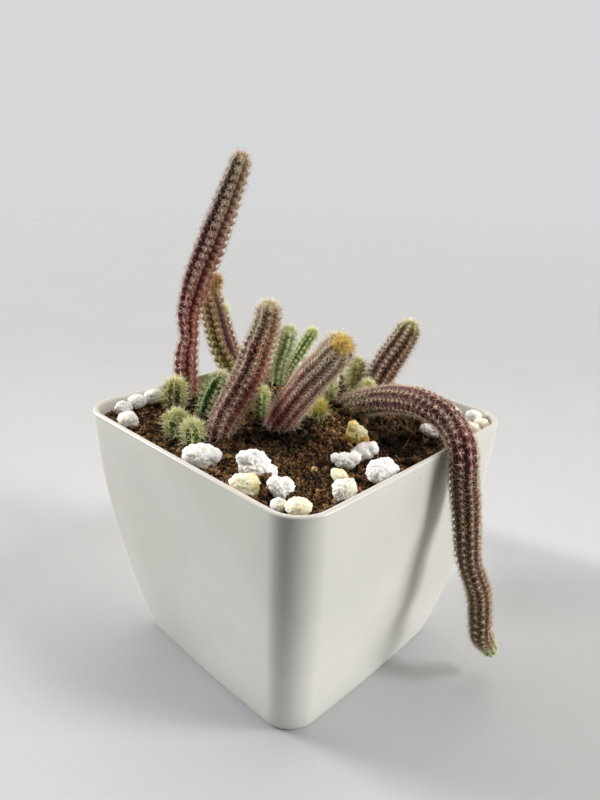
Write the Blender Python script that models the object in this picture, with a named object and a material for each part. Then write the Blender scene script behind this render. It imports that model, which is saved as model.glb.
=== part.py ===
"""A golden rat tail cactus in a square plastic pot.

Units are metres, +Z is up, and the origin is the middle of the pot's base.
The pot's sides lie along X and Y. Soil fills the pot, and every stem, offset
and stone is its own solid that stands in a hole or a pocket of the soil.
Routes and stones are written in millimetres, as tuples of real sizes.
"""

import math
import random

import bmesh
import bpy
from mathutils import Matrix, Vector, noise

MM = 0.001
GAP = 0.0003

# The pot, a square cup whose walls curve in towards a smaller base.
POT_HEIGHT = 0.0836
POT_TOP_HALF = 0.050
POT_BASE_HALF = 0.0384
POT_CORNER_TOP = 0.0108
POT_CORNER_BASE = 0.0102
POT_BOW_TOP = 0.0002
POT_BOW_BASE = 0.0006
POT_WALL = 0.0018
POT_FLOOR = 0.0022
POT_EDGE = 0.0007
WALL_STRAIGHT_SHARE = 0.222
WALL_CURVE_POWER = 2.18
DRAIN_RADIUS = 0.003
DRAIN_OFFSET = 0.020
DRAIN_SIDES = 12
CORNER_STEPS = 5
SIDE_STEPS = 2
WALL_LEVELS = tuple(level * MM for level in (6, 15, 26, 38, 51, 66))

# The soil, a little below the rim at the walls and heaped up in the middle.
SOIL_EDGE = 0.0792
SOIL_MOUND_HEIGHT = 0.0040
SOIL_MOUND_CENTRE = (-0.006, -0.002)
SOIL_MOUND_SPREAD = 0.022
SOIL_HOLLOW_DEPTH = 0.0060
SOIL_HOLLOW_CENTRE = (0.031, 0.019)
SOIL_HOLLOW_SPREAD = 0.009
SOIL_LUMP_HEIGHT = 0.0008
SOIL_LUMP_LENGTH = 0.007
SOIL_RINGS = (0.92, 0.82, 0.71, 0.59, 0.46, 0.32, 0.16)

# The stems: each rib is a row of bumps with an areole on every bump.
STEM_RIBS = 8
OFFSET_RIBS = 6
AREOLE_PITCH = 0.0060
VALLEY_SHARE = 0.80
NOTCH_SHARE = 0.91
TWIST_PER_METRE = 6.0
SHAFT_SHARE = 0.74
STEM_BURIED = 0.012
OFFSET_BURIED = 0.007
SHAFT_SHORTER = 0.0006
SHAFT_MIDDLE = 0.6
TIP_LENGTH = 0.003
SOIL_CLEARANCE = 0.0012
HOLE_GAP = 0.00035
HOLE_ABOVE = 0.002
CURVE_STEPS = 12
SEARCH_STEP = 0.0005
CAP_ANGLES = (35, 66)

# The needles, one from every second areole of a rib.
NEEDLE_LENGTH = 0.0026
NEEDLE_ROOT = 0.00026
NEEDLE_TILTS = (0.11, 0.55)
NEEDLE_LENGTHS = (0.8, 1.15)
NEEDLE_CLEARANCE = 0.0005
CLEARANCE_STRIDE = 3
BUD_SEED = 90

# Routes of the large stems: x, y, z and the radius over the ribs, in millimetres.
TALL_ROUTE = (
    (-42.5, -13.0, 81.5, 3.8), (-43.5, -12.5, 88.5, 4.0), (-44.5, -11.5, 95.0, 3.8),
    (-44.5, -10.0, 101.0, 3.1), (-45.5, -9.5, 107.5, 3.8), (-45.5, -8.0, 113.5, 4.3),
    (-45.0, -6.0, 119.5, 4.7), (-44.0, -4.0, 125.5, 4.9), (-43.0, -1.5, 131.5, 5.1),
    (-42.0, 0.5, 137.5, 5.2), (-41.0, 3.0, 143.5, 5.0), (-40.0, 5.0, 149.5, 4.7),
    (-39.0, 7.0, 155.0, 4.4), (-38.5, 9.5, 162.0, 4.2),
)
BACK_LEFT_ROUTE = (
    (-31.0, 4.0, 81.5, 4.3), (-38.0, 5.0, 88.5, 4.5), (-43.0, 5.0, 93.5, 4.7),
    (-48.5, 6.5, 100.0, 4.7), (-53.5, 8.0, 106.5, 4.5), (-58.0, 9.5, 112.5, 3.6),
    (-60.0, 10.0, 115.0, 3.2),
)
BACK_LEFT_KNOB = (
    (-57.5, 9.0, 111.0, 1.9), (-57.0, 10.5, 114.5, 2.0), (-56.0, 11.5, 118.0, 1.9),
)
BACK_LEFT_BUD = (
    (-52.5, 8.5, 103.5, 2.0), (-50.0, 11.0, 105.5, 2.2), (-48.5, 12.5, 109.0, 2.1),
)
FRONT_LEFT_ROUTE = (
    (-5.0, -28.5, 81.0, 3.7), (-5.0, -26.0, 87.0, 4.2), (-4.0, -23.5, 91.5, 4.4),
    (-3.0, -21.0, 96.0, 4.6), (-2.5, -18.0, 101.0, 4.7), (-2.0, -16.0, 106.5, 4.6),
    (-2.0, -13.5, 111.5, 4.1), (-2.0, -12.0, 116.0, 3.6), (-2.5, -11.0, 120.5, 3.4),
)
FORWARD_ROUTE = (
    (2.5, -11.0, 82.0, 4.2), (8.5, -12.5, 90.0, 4.5), (16.5, -15.0, 99.0, 4.6),
    (24.0, -18.0, 106.5, 4.5), (31.0, -20.5, 113.0, 4.3), (38.0, -24.0, 120.0, 4.1),
)
BACK_RIGHT_ROUTE = (
    (2.0, 37.5, 81.0, 4.4), (2.5, 40.5, 87.0, 4.8), (3.5, 43.0, 92.0, 5.0),
    (5.0, 46.0, 97.0, 4.9), (6.0, 49.0, 101.5, 4.5), (7.0, 51.5, 107.0, 4.2),
)
HANGING_ROUTE = (
    (5.0, 22.0, 81.0, 4.0), (13.5, 21.0, 85.5, 4.2), (20.0, 20.5, 88.5, 4.2),
    (26.0, 19.5, 90.5, 4.3), (34.5, 17.5, 92.5, 4.3), (40.0, 16.5, 92.5, 4.2),
    (45.0, 16.0, 91.5, 4.2), (49.5, 15.0, 88.9, 4.1), (53.0, 13.0, 86.8, 4.1),
    (55.0, 12.0, 83.0, 4.1), (55.5, 13.0, 76.0, 4.1), (56.5, 14.0, 69.0, 4.1),
    (57.5, 14.5, 62.5, 3.9), (59.0, 14.0, 56.0, 3.7), (60.0, 14.5, 50.0, 3.4),
    (61.5, 16.0, 44.5, 3.4), (62.5, 18.5, 39.0, 3.5), (63.5, 19.5, 33.5, 3.5),
    (65.0, 18.5, 27.5, 3.3), (65.5, 19.5, 22.0, 3.1), (66.0, 24.0, 16.0, 2.8),
    (66.0, 28.0, 10.5, 2.4),
)
STEM_ROUTES = {
    "stem_tall": TALL_ROUTE,
    "stem_back_left": BACK_LEFT_ROUTE,
    "stem_front_left": FRONT_LEFT_ROUTE,
    "stem_forward": FORWARD_ROUTE,
    "stem_back_right": BACK_RIGHT_ROUTE,
    "stem_hanging": HANGING_ROUTE,
}

# Routes of the offsets, the young stems round the others' feet.
OFFSET_ROUTES = {
    "offset_left": ((-36.5, -22.5, 80.5, 3.6), (-36.5, -22.5, 85.0, 4.1), (-36.5, -22.0, 90.0, 4.0)),
    "offset_front_a": ((-17.0, -35.5, 79.5, 3.2), (-17.0, -35.5, 84.0, 3.7), (-17.0, -35.0, 89.0, 3.6)),
    "offset_front_b": ((-8.0, -36.0, 79.5, 3.0), (-8.0, -36.0, 83.5, 3.6), (-8.5, -36.0, 88.0, 3.5)),
    "offset_dark_green": ((-21.5, -20.5, 81.5, 3.4), (-20.0, -19.0, 88.0, 4.0), (-17.5, -17.0, 95.5, 3.8)),
    "offset_green_tall": (
        (-30.0, 20.0, 81.0, 2.8), (-29.5, 20.5, 89.0, 3.1), (-28.0, 22.0, 96.0, 3.2), (-27.0, 22.5, 102.5, 2.9),
    ),
    "offset_green_thin": ((-38.0, 33.0, 80.0, 2.1), (-35.0, 36.0, 88.0, 2.3), (-31.0, 40.0, 98.0, 2.1)),
    "offset_behind_forward": ((-6.0, -10.5, 82.5, 2.2), (-6.0, -10.5, 87.0, 2.6), (-6.0, -10.5, 92.0, 2.4)),
    "offset_golden": ((6.0, 3.5, 82.0, 2.8), (6.0, 3.5, 85.5, 3.5), (6.0, 3.0, 89.5, 3.3)),
    "offset_middle": ((-3.0, 19.0, 81.5, 1.9), (-3.0, 19.0, 85.5, 2.2), (-3.0, 19.0, 90.5, 2.1)),
    "offset_back": ((-7.0, 38.0, 80.5, 2.6), (-7.0, 38.0, 86.0, 2.9), (-7.0, 38.0, 92.5, 2.8)),
    "offset_back_small": ((4.0, 30.0, 80.5, 1.7), (4.5, 30.0, 84.0, 1.9), (5.0, 30.5, 88.0, 1.8)),
    "offset_back_left_small": ((-43.0, 16.0, 79.5, 1.7), (-43.0, 16.0, 85.0, 1.9), (-43.5, 16.0, 91.5, 1.8)),
}

# Stones: x, y, z of the middle and half sizes along X, Y and Z, in millimetres.
WHITE_STONES = (
    (3.5, -41.5, 81.5, 5.2, 4.2, 3.2),
    (18.0, -34.0, 82.0, 5.0, 4.6, 3.8),
    (32.0, -38.0, 82.0, 3.2, 3.0, 2.8),
    (37.0, -43.0, 80.8, 2.0, 1.9, 1.8),
    (32.0, -13.5, 82.0, 3.4, 4.2, 2.5),
    (32.5, -5.0, 82.2, 3.6, 3.5, 2.8),
    (43.0, -26.5, 81.5, 3.0, 3.0, 2.6),
    (43.0, -11.5, 82.0, 3.4, 5.0, 3.0),
    (33.0, 30.0, 77.6, 2.8, 2.8, 2.1),
    (-32.5, -43.0, 81.5, 3.2, 2.9, 2.5),
    (-42.0, -39.0, 81.5, 2.5, 2.5, 2.3),
    (-44.5, -32.5, 81.0, 2.4, 2.5, 1.9),
    (-44.0, -26.0, 81.0, 2.5, 2.7, 2.2),
    (40.0, 44.0, 81.5, 2.3, 2.2, 2.0),
    (33.0, 42.5, 80.8, 2.7, 2.6, 2.3),
    (-22.0, 42.5, 80.6, 3.2, 3.0, 2.6),
    (-40.0, 41.0, 80.4, 3.0, 2.8, 2.4),
    (19.0, 38.5, 80.2, 3.4, 2.8, 2.4),
)
OCHRE_STONES = (
    (25.0, -43.5, 81.5, 3.5, 3.2, 2.7),
    (42.5, -40.0, 82.0, 2.6, 2.7, 2.0),
    (25.0, 1.0, 83.0, 3.2, 3.2, 3.8),
    (36.0, -20.5, 81.0, 2.4, 2.4, 1.6),
    (44.5, 41.0, 81.5, 2.1, 2.1, 2.0),
    (44.5, 35.0, 81.5, 2.2, 2.2, 1.8),
    (-15.0, 31.0, 80.4, 2.8, 2.6, 2.2),
)
STONE_ROUGHNESS = 0.22
STONE_BUMPS = 1.9
STONE_TURN = 0.4
STONE_SHIFT = Vector((3.7, 1.3, 0.0))
OCHRE_SEED = 40

COLOURS = {
    "pot_plastic": ((0.82, 0.80, 0.76, 1.0), 0.28),
    "soil": ((0.045, 0.028, 0.020, 1.0), 0.95),
    "stem_flesh": ((0.20, 0.085, 0.075, 1.0), 0.60),
    "offset_flesh": ((0.30, 0.34, 0.10, 1.0), 0.60),
    "stone_white": ((0.80, 0.78, 0.72, 1.0), 0.90),
    "stone_ochre": ((0.72, 0.55, 0.26, 1.0), 0.90),
}


def clear_scene():
    for item in list(bpy.data.objects):
        bpy.data.objects.remove(item, do_unlink=True)


def make_material(name):
    colour, roughness = COLOURS[name]
    material = bpy.data.materials.new(name)
    material.use_nodes = True
    shader = material.node_tree.nodes["Principled BSDF"]
    shader.inputs["Base Color"].default_value = colour
    shader.inputs["Roughness"].default_value = roughness
    shader.inputs["Metallic"].default_value = 0.0
    material.diffuse_color = colour
    return material


def finish_mesh(bm, name):
    """Triangulates the faces, points them outward and returns them as a mesh."""
    bmesh.ops.triangulate(bm, faces=bm.faces[:])
    bmesh.ops.recalc_face_normals(bm, faces=bm.faces[:])
    mesh = bpy.data.meshes.new(name)
    bm.to_mesh(mesh)
    bm.free()
    return mesh


def add_object(name, mesh, material=None):
    item = bpy.data.objects.new(name, mesh)
    bpy.context.scene.collection.objects.link(item)
    if material is not None:
        mesh.materials.append(material)
    return item


def add_cutter(name, mesh, collection):
    """Puts a hidden solid in the collection that a Boolean takes away."""
    cutter = bpy.data.objects.new(name, mesh)
    cutter.hide_render = True
    cutter.display_type = "WIRE"
    collection.objects.link(cutter)
    return cutter


def new_collection(name):
    collection = bpy.data.collections.new(name)
    bpy.context.scene.collection.children.link(collection)
    return collection


def apply_boolean(item, collection, operation):
    """Cuts a collection's solids from an object or joins them to it, and then removes them."""
    modifier = item.modifiers.new("boolean", "BOOLEAN")
    modifier.operand_type = "COLLECTION"
    modifier.collection = collection
    modifier.operation = operation
    modifier.solver = "EXACT"
    bpy.context.view_layer.update()
    evaluated = item.evaluated_get(bpy.context.evaluated_depsgraph_get())
    result = bpy.data.meshes.new_from_object(evaluated)
    item.modifiers.remove(modifier)
    item.data = result
    for solid in list(collection.objects):
        bpy.data.objects.remove(solid, do_unlink=True)
    bpy.data.collections.remove(collection)


def skin_rings(bm, rings, close_start=True, close_end=True):
    """Bridges a row of point rings with four-sided faces and caps its ends."""
    loops = [[bm.verts.new(point) for point in ring] for ring in rings]
    for lower, upper in zip(loops, loops[1:]):
        count = len(lower)
        for index in range(count):
            following = (index + 1) % count
            bm.faces.new((lower[index], lower[following], upper[following], upper[index]))
    if close_start:
        bm.faces.new(list(reversed(loops[0])))
    if close_end:
        bm.faces.new(loops[-1])
    return loops


def close_with_point(bm, loop, point):
    tip = bm.verts.new(point)
    count = len(loop)
    for index in range(count):
        bm.faces.new((loop[index], loop[(index + 1) % count], tip))
    return tip


# The pot's outline and the surfaces that follow it.


def pot_share(z):
    """How far the wall has come in at height z, from 0 at the rim to 1 at the base."""
    drop = 1.0 - max(0.0, min(1.0, z / POT_HEIGHT))
    curved = (1.0 - WALL_STRAIGHT_SHARE) * drop ** WALL_CURVE_POWER
    return WALL_STRAIGHT_SHARE * drop + curved


def pot_half_width(z):
    return POT_TOP_HALF + (POT_BASE_HALF - POT_TOP_HALF) * pot_share(z)


def pot_ring(z, inset=0.0, scale=1.0):
    """Points round the pot at height z: rounded corners and slightly bowed sides."""
    share = pot_share(z)
    half = pot_half_width(z) - inset
    radius = POT_CORNER_TOP + (POT_CORNER_BASE - POT_CORNER_TOP) * share - inset
    bow = POT_BOW_TOP + (POT_BOW_BASE - POT_BOW_TOP) * share
    straight = half - radius
    points = []
    for corner in range(4):
        turn = Matrix.Rotation(corner * math.pi / 2, 3, "Z")
        for step in range(CORNER_STEPS + 1):
            angle = step / CORNER_STEPS * math.pi / 2
            local = Vector((straight + radius * math.cos(angle), straight + radius * math.sin(angle), 0))
            points.append(turn @ local)
        for step in range(1, SIDE_STEPS):
            along = 1.0 - 2.0 * step / SIDE_STEPS
            local = Vector((straight * along, half + bow * (1.0 - along * along), 0))
            points.append(turn @ local)
    return [Vector((point.x * scale, point.y * scale, z)) for point in points]


def build_pot(material):
    """A thin wall with a rounded lip and foot, and four drain holes in the floor."""
    rings = [pot_ring(0.0, POT_EDGE), pot_ring(POT_EDGE)]
    rings += [pot_ring(level) for level in WALL_LEVELS]
    rings += [pot_ring(POT_HEIGHT - POT_EDGE), pot_ring(POT_HEIGHT, 0.5 * POT_EDGE)]
    rings += [pot_ring(POT_HEIGHT, POT_WALL - 0.5 * POT_EDGE), pot_ring(POT_HEIGHT - POT_EDGE, POT_WALL)]
    rings += [pot_ring(level, POT_WALL) for level in reversed(WALL_LEVELS)]
    rings += [pot_ring(POT_FLOOR + POT_EDGE, POT_WALL), pot_ring(POT_FLOOR, POT_WALL + POT_EDGE)]
    bm = bmesh.new()
    skin_rings(bm, rings)
    pot = add_object("pot", finish_mesh(bm, "pot"), material)
    drains = new_collection("drains")
    for corner in range(4):
        bm = bmesh.new()
        bmesh.ops.create_cone(
            bm, cap_ends=True, segments=DRAIN_SIDES, radius1=DRAIN_RADIUS, radius2=DRAIN_RADIUS,
            depth=4.0 * POT_FLOOR,
        )
        angle = math.radians(45 + 90 * corner)
        place = Vector((math.cos(angle), math.sin(angle), 0)) * DRAIN_OFFSET
        bmesh.ops.translate(bm, verts=bm.verts[:], vec=place)
        add_cutter("drain_cutter", finish_mesh(bm, "drain_cutter"), drains)
    apply_boolean(pot, drains, "DIFFERENCE")


def soil_height(x, y):
    """Height of the soil's surface: a mound, a hollow under the arching stem, and lumps."""
    mound = (Vector((x, y)) - Vector(SOIL_MOUND_CENTRE)).length / SOIL_MOUND_SPREAD
    hollow = (Vector((x, y)) - Vector(SOIL_HOLLOW_CENTRE)).length / SOIL_HOLLOW_SPREAD
    height = SOIL_EDGE + SOIL_MOUND_HEIGHT * math.exp(-0.5 * mound * mound)
    height -= SOIL_HOLLOW_DEPTH * math.exp(-0.5 * hollow * hollow)
    place = Vector((x, y, 0)) / SOIL_LUMP_LENGTH
    return height + SOIL_LUMP_HEIGHT * noise.noise(place)


def build_soil(material, holes):
    """Fills the pot and then takes out the stems' holes and the stones' pockets."""
    inset = POT_WALL + GAP
    bottom = POT_FLOOR + GAP
    rings = [pot_ring(bottom, inset + POT_EDGE), pot_ring(bottom + POT_EDGE, inset)]
    rings += [pot_ring(level, inset) for level in WALL_LEVELS]
    for scale in (1.0,) + SOIL_RINGS:
        ring = pot_ring(SOIL_EDGE, inset, scale)
        rings.append([Vector((point.x, point.y, soil_height(point.x, point.y))) for point in ring])
    bm = bmesh.new()
    loops = skin_rings(bm, rings, close_end=False)
    close_with_point(bm, loops[-1], Vector((0, 0, soil_height(0, 0))))
    soil = add_object("soil", finish_mesh(bm, "soil"), material)
    apply_boolean(soil, holes, "DIFFERENCE")


# The stems' centre lines.


def curve_point(before, start, end, after, share):
    """A point of the smooth curve that passes through four points in a row."""
    square = share * share
    cube = square * share
    return 0.5 * (
        2.0 * start
        + (end - before) * share
        + (2.0 * before - 5.0 * start + 4.0 * end - after) * square
        + (3.0 * start - before - 3.0 * end + after) * cube
    )


class Line:
    """A smooth centre line through a route, with a radius and a side direction all along it."""

    def __init__(self, route, buried, ribs):
        nodes = [Vector(values) * MM for values in route]
        if buried:
            nodes.insert(0, self.foot(nodes, buried))
        self.buried = buried
        self.ribs = ribs
        self.samples = self.sample(nodes)
        self.lengths = [0.0]
        for first, second in zip(self.samples, self.samples[1:]):
            self.lengths.append(self.lengths[-1] + (second - first).to_3d().length)
        self.length = self.lengths[-1]
        self.sides = self.carry_side()

    @staticmethod
    def foot(nodes, buried):
        """The buried end, half way between straight down and the stem's first direction."""
        first = (nodes[1] - nodes[0]).to_3d().normalized()
        down = (first + Vector((0, 0, 1))).normalized()
        place = nodes[0].to_3d() - down * buried
        return Vector((place.x, place.y, place.z, nodes[0].w))

    @staticmethod
    def sample(nodes):
        padded = [2.0 * nodes[0] - nodes[1]] + nodes + [2.0 * nodes[-1] - nodes[-2]]
        points = []
        for index in range(1, len(padded) - 2):
            before, start, end, after = padded[index - 1:index + 3]
            for step in range(CURVE_STEPS):
                points.append(curve_point(before, start, end, after, step / CURVE_STEPS))
        points.append(nodes[-1])
        return points

    def carry_side(self):
        """A direction across the line at each sample, carried along it without twisting."""
        side = Vector((0, 1, 0))
        sides = []
        for index in range(len(self.samples)):
            tangent = self.tangent_at(index)
            side = (side - tangent * side.dot(tangent)).normalized()
            sides.append(side)
        return sides

    def tangent_at(self, index):
        low = max(0, index - 1)
        high = min(len(self.samples) - 1, index + 1)
        return (self.samples[high] - self.samples[low]).to_3d().normalized()

    def locate(self, distance):
        """Place, radius, tangent and side at a distance along the line."""
        distance = max(0.0, min(self.length, distance))
        index = 0
        while index < len(self.lengths) - 2 and self.lengths[index + 1] < distance:
            index += 1
        span = self.lengths[index + 1] - self.lengths[index]
        share = (distance - self.lengths[index]) / span
        value = self.samples[index].lerp(self.samples[index + 1], share)
        tangent = self.tangent_at(index).lerp(self.tangent_at(index + 1), share).normalized()
        side = self.sides[index].lerp(self.sides[index + 1], share)
        side = (side - tangent * side.dot(tangent)).normalized()
        return value.to_3d(), value.w, tangent, side

    def ring(self, distance, radii, turn=0.0):
        """Points round the line, with one radius for each of them."""
        place, _, tangent, side = self.locate(distance)
        other = tangent.cross(side)
        points = []
        for index, radius in enumerate(radii):
            angle = turn + 2.0 * math.pi * index / len(radii)
            points.append(place + (side * math.cos(angle) + other * math.sin(angle)) * radius)
        return points

    def clear_start(self):
        """Where the ribbed part is clear of the soil all round."""
        distance = self.buried
        while distance < self.length:
            place, radius, tangent, _ = self.locate(distance)
            lean = math.sqrt(max(0.0, 1.0 - tangent.z * tangent.z))
            if place.z - radius * lean - soil_height(place.x, place.y) > SOIL_CLEARANCE:
                return distance
            distance += SEARCH_STEP
        return distance


def ribbed_ring(line, distance, start, radius, on_areole, relief=1.0):
    """One ring of ribs and valleys in turn, with the ribs lower between two areoles."""
    crest = radius if on_areole else radius * (1.0 - (1.0 - NOTCH_SHARE) * relief)
    valley = radius * (1.0 - (1.0 - VALLEY_SHARE) * relief)
    turn = TWIST_PER_METRE * (distance - start) * 2.0 * math.pi / line.ribs
    return line.ring(distance, [crest, valley] * line.ribs, turn)


def stem_rings(line, start):
    """Rings of the ribbed part up to its rounded tip, with a mark on those that carry areoles."""
    tip_radius = line.locate(line.length - TIP_LENGTH)[1]
    body_end = line.length - tip_radius
    rows = max(1, round((body_end - start) / AREOLE_PITCH))
    pitch = (body_end - start) / rows
    rings = []
    for row in range(2 * rows + 1):
        distance = start + 0.5 * row * pitch
        radius = line.locate(distance)[1]
        on_areole = row % 2 == 0
        rings.append((ribbed_ring(line, distance, start, radius, on_areole), on_areole))
    for angle in CAP_ANGLES:
        distance = body_end + tip_radius * math.sin(math.radians(angle))
        radius = tip_radius * math.cos(math.radians(angle))
        relief = 1.0 - angle / 90.0
        rings.append((ribbed_ring(line, distance, start, radius, True, relief), angle == CAP_ANGLES[-1]))
    return rings


def clear_of_pot(point):
    """Whether a point keeps away from the soil, the pot's wall and the surface below."""
    if point.z < soil_height(point.x, point.y) + 2.0 * NEEDLE_CLEARANCE and in_pot(point):
        return False
    if point.z < POT_HEIGHT + NEEDLE_CLEARANCE and not clear_of_wall(point):
        return False
    return point.z > 4.0 * NEEDLE_CLEARANCE


def clear_of_stones(point, stones):
    for values in stones:
        reach = max(values[3:]) * (1.0 + STONE_ROUGHNESS) * MM + NEEDLE_CLEARANCE
        if (point - Vector(values[:3]) * MM).length < reach:
            return False
    return True


def clear_of_others(own_name, lines, stones):
    """A test for one stem's needle points: they keep away from everything but that stem."""
    others = [line for name, line in lines.items() if name != own_name]
    samples = [sample for line in others for sample in line.samples[::CLEARANCE_STRIDE]]

    def keep(point):
        if not clear_of_pot(point) or not clear_of_stones(point, stones):
            return False
        spare = NEEDLE_LENGTH + NEEDLE_CLEARANCE
        return all((point - sample.to_3d()).length > sample.w + spare for sample in samples)

    return keep


def in_pot(point):
    return max(abs(point.x), abs(point.y)) < pot_half_width(point.z)


def clear_of_wall(point):
    """Whether a point below the rim is well outside the wall or well inside it."""
    reach = max(abs(point.x), abs(point.y))
    half = pot_half_width(point.z)
    inside = reach < half - POT_WALL - NEEDLE_CLEARANCE
    return inside or reach > half + POT_BOW_BASE + NEEDLE_CLEARANCE


def raise_needles(bm, roots, keep, chance):
    """Cuts each root vertex to a small face and pulls that face's middle out to a point."""
    wanted = []
    for vertex, outward, along in roots:
        across = outward.cross(along)
        lean = chance.uniform(*NEEDLE_TILTS)
        angle = chance.uniform(0.0, 2.0 * math.pi)
        direction = outward + (along * math.cos(angle) + across * math.sin(angle)) * lean
        length = NEEDLE_LENGTH * chance.uniform(*NEEDLE_LENGTHS)
        point = vertex.co + direction.normalized() * length
        if keep(point):
            wanted.append((vertex, vertex.co.copy(), point))
    result = bmesh.ops.bevel(
        bm, geom=[entry[0] for entry in wanted], offset=NEEDLE_ROOT, offset_type="OFFSET",
        segments=1, profile=0.5, affect="VERTICES", material=-1,
    )
    bases = {}
    for face in result["faces"]:
        middle = face.calc_center_median()
        nearest = min(range(len(wanted)), key=lambda index: (wanted[index][1] - middle).length)
        bases[nearest] = face
    order = sorted(bases)
    middles = bmesh.ops.poke(bm, faces=[bases[index] for index in order])["verts"]
    for middle in middles:
        nearest = min(order, key=lambda index: (wanted[index][1] - middle.co).length)
        middle.co = wanted[nearest][2]


def needle_roots(loops, rings, tangents):
    """Areole vertices that carry a needle, with the directions out from the stem and along it."""
    roots = []
    for row, (loop, (_, on_areole)) in enumerate(zip(loops, rings)):
        if not on_areole:
            continue
        at_tip = row == len(rings) - 1
        centre = sum((vertex.co for vertex in loop), Vector()) / len(loop)
        for rib in range(len(loop) // 2):
            if at_tip or (row // 2 + rib) % 2 == 0:
                vertex = loop[2 * rib]
                outward = (vertex.co - centre).normalized()
                if at_tip:
                    outward = (outward + tangents[row]).normalized()
                roots.append((vertex, outward, tangents[row]))
    return roots


def plain_stops(line, start):
    """Where the rings of the buried shaft lie along the line, with one more in a long shaft."""
    if line.buried < STEM_BURIED:
        return (0.0, start)
    return (0.0, line.buried * SHAFT_MIDDLE, start)


def stem_mesh(name, line, keep, seed):
    """A ribbed stem with a plain buried shaft and needles on its areoles."""
    start = line.clear_start() if line.buried else 0.0
    rings = stem_rings(line, start)
    plain = []
    if line.buried:
        shaft = line.locate(line.buried)[1] * SHAFT_SHARE
        stops = plain_stops(line, start - SHAFT_SHORTER)
        plain = [line.ring(stop, [shaft] * (2 * line.ribs)) for stop in stops]
    bm = bmesh.new()
    loops = skin_rings(bm, plain + [points for points, _ in rings], close_end=False)
    close_with_point(bm, loops[-1], line.locate(line.length)[0])
    ribbed = loops[len(plain):]
    tangents = []
    for row in range(len(ribbed)):
        low = ribbed[max(0, row - 1)]
        high = ribbed[min(len(ribbed) - 1, row + 1)]
        step = sum((top.co - bottom.co for top, bottom in zip(high, low)), Vector())
        tangents.append(step.normalized())
    raise_needles(bm, needle_roots(ribbed, rings, tangents), keep, random.Random(seed))
    return finish_mesh(bm, name)


def join_buds(item, keep):
    """Grows the knob and the bud out of the back left stem."""
    buds = new_collection("buds")
    for index, route in enumerate((BACK_LEFT_KNOB, BACK_LEFT_BUD)):
        bud = Line(route, 0.0, OFFSET_RIBS)
        add_cutter("bud", stem_mesh("bud", bud, keep, BUD_SEED + index), buds)
    apply_boolean(item, buds, "UNION")


def hole_mesh(line):
    """The plain hole that a buried shaft stands in."""
    shaft = line.locate(line.buried)[1] * SHAFT_SHARE + HOLE_GAP
    rings = [line.ring(stop, [shaft] * (2 * line.ribs)) for stop in plain_stops(line, line.clear_start())]
    down = line.locate(0.0)[2] * -HOLE_GAP
    up = line.locate(line.clear_start())[2] * HOLE_ABOVE
    rings[0] = [point + down for point in rings[0]]
    rings[-1] = [point + up for point in rings[-1]]
    bm = bmesh.new()
    skin_rings(bm, rings)
    return finish_mesh(bm, "hole_cutter")


# The stones.


def stone_mesh(name, values, seed, grow=0.0):
    """A rough pebble: a sphere of flat faces, stretched and dented by smooth noise."""
    middle = Vector(values[:3]) * MM
    bm = bmesh.new()
    bmesh.ops.create_icosphere(bm, subdivisions=2, radius=1.0)
    for vertex in bm.verts:
        direction = vertex.co.normalized()
        place = direction * STONE_BUMPS + STONE_SHIFT * seed
        bump = 1.0 + STONE_ROUGHNESS * noise.noise(place)
        reach = Vector([direction[axis] * values[3 + axis] * MM * bump for axis in range(3)])
        vertex.co = reach + reach.normalized() * grow
    turn = Matrix.Rotation(random.Random(seed).uniform(-STONE_TURN, STONE_TURN), 3, "Z")
    bmesh.ops.transform(bm, matrix=Matrix.Translation(middle) @ turn.to_4x4(), verts=bm.verts[:])
    return finish_mesh(bm, name)


def stone_list():
    """Every stone with its name, values, seed and material."""
    entries = []
    for index, values in enumerate(WHITE_STONES):
        entries.append(("stone_white_%02d" % (index + 1), values, index + 1, "stone_white"))
    for index, values in enumerate(OCHRE_STONES):
        entries.append(("stone_ochre_%02d" % (index + 1), values, OCHRE_SEED + index + 1, "stone_ochre"))
    return entries


def main():
    clear_scene()
    materials = {name: make_material(name) for name in COLOURS}
    lines = {}
    for name, route in STEM_ROUTES.items():
        lines[name] = Line(route, STEM_BURIED, STEM_RIBS)
    for name, route in OFFSET_ROUTES.items():
        lines[name] = Line(route, OFFSET_BURIED, OFFSET_RIBS)
    stones = stone_list()
    stone_values = [entry[1] for entry in stones]

    build_pot(materials["pot_plastic"])
    holes = new_collection("holes")
    for line in lines.values():
        add_cutter("hole_cutter", hole_mesh(line), holes)
    for name, values, seed, _ in stones:
        add_cutter("pocket_cutter", stone_mesh("pocket_cutter", values, seed, HOLE_GAP), holes)
    build_soil(materials["soil"], holes)

    for seed, (name, line) in enumerate(lines.items()):
        slot = "offset_flesh" if name.startswith("offset") else "stem_flesh"
        keep = clear_of_others(name, lines, stone_values)
        item = add_object(name, stem_mesh(name, line, keep, seed), materials[slot])
        if name == "stem_back_left":
            join_buds(item, keep)

    for name, values, seed, slot in stones:
        add_object(name, stone_mesh(name, values, seed), materials[slot])


main()
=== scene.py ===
"""Looks for a potted golden rat tail cactus.

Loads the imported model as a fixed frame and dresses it: a smooth pot, crumbly
soil, porous stones, and stems with ribs, woolly areoles and fine bristles.
Sizes are in metres, +Z is up, and the origin is the middle of the pot's base.
Routes and stones are written in millimetres, as they are in the part's source.
"""

import math
import random

import bmesh
import bpy
import numpy as np
from mathutils import Matrix, Vector, noise


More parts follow.
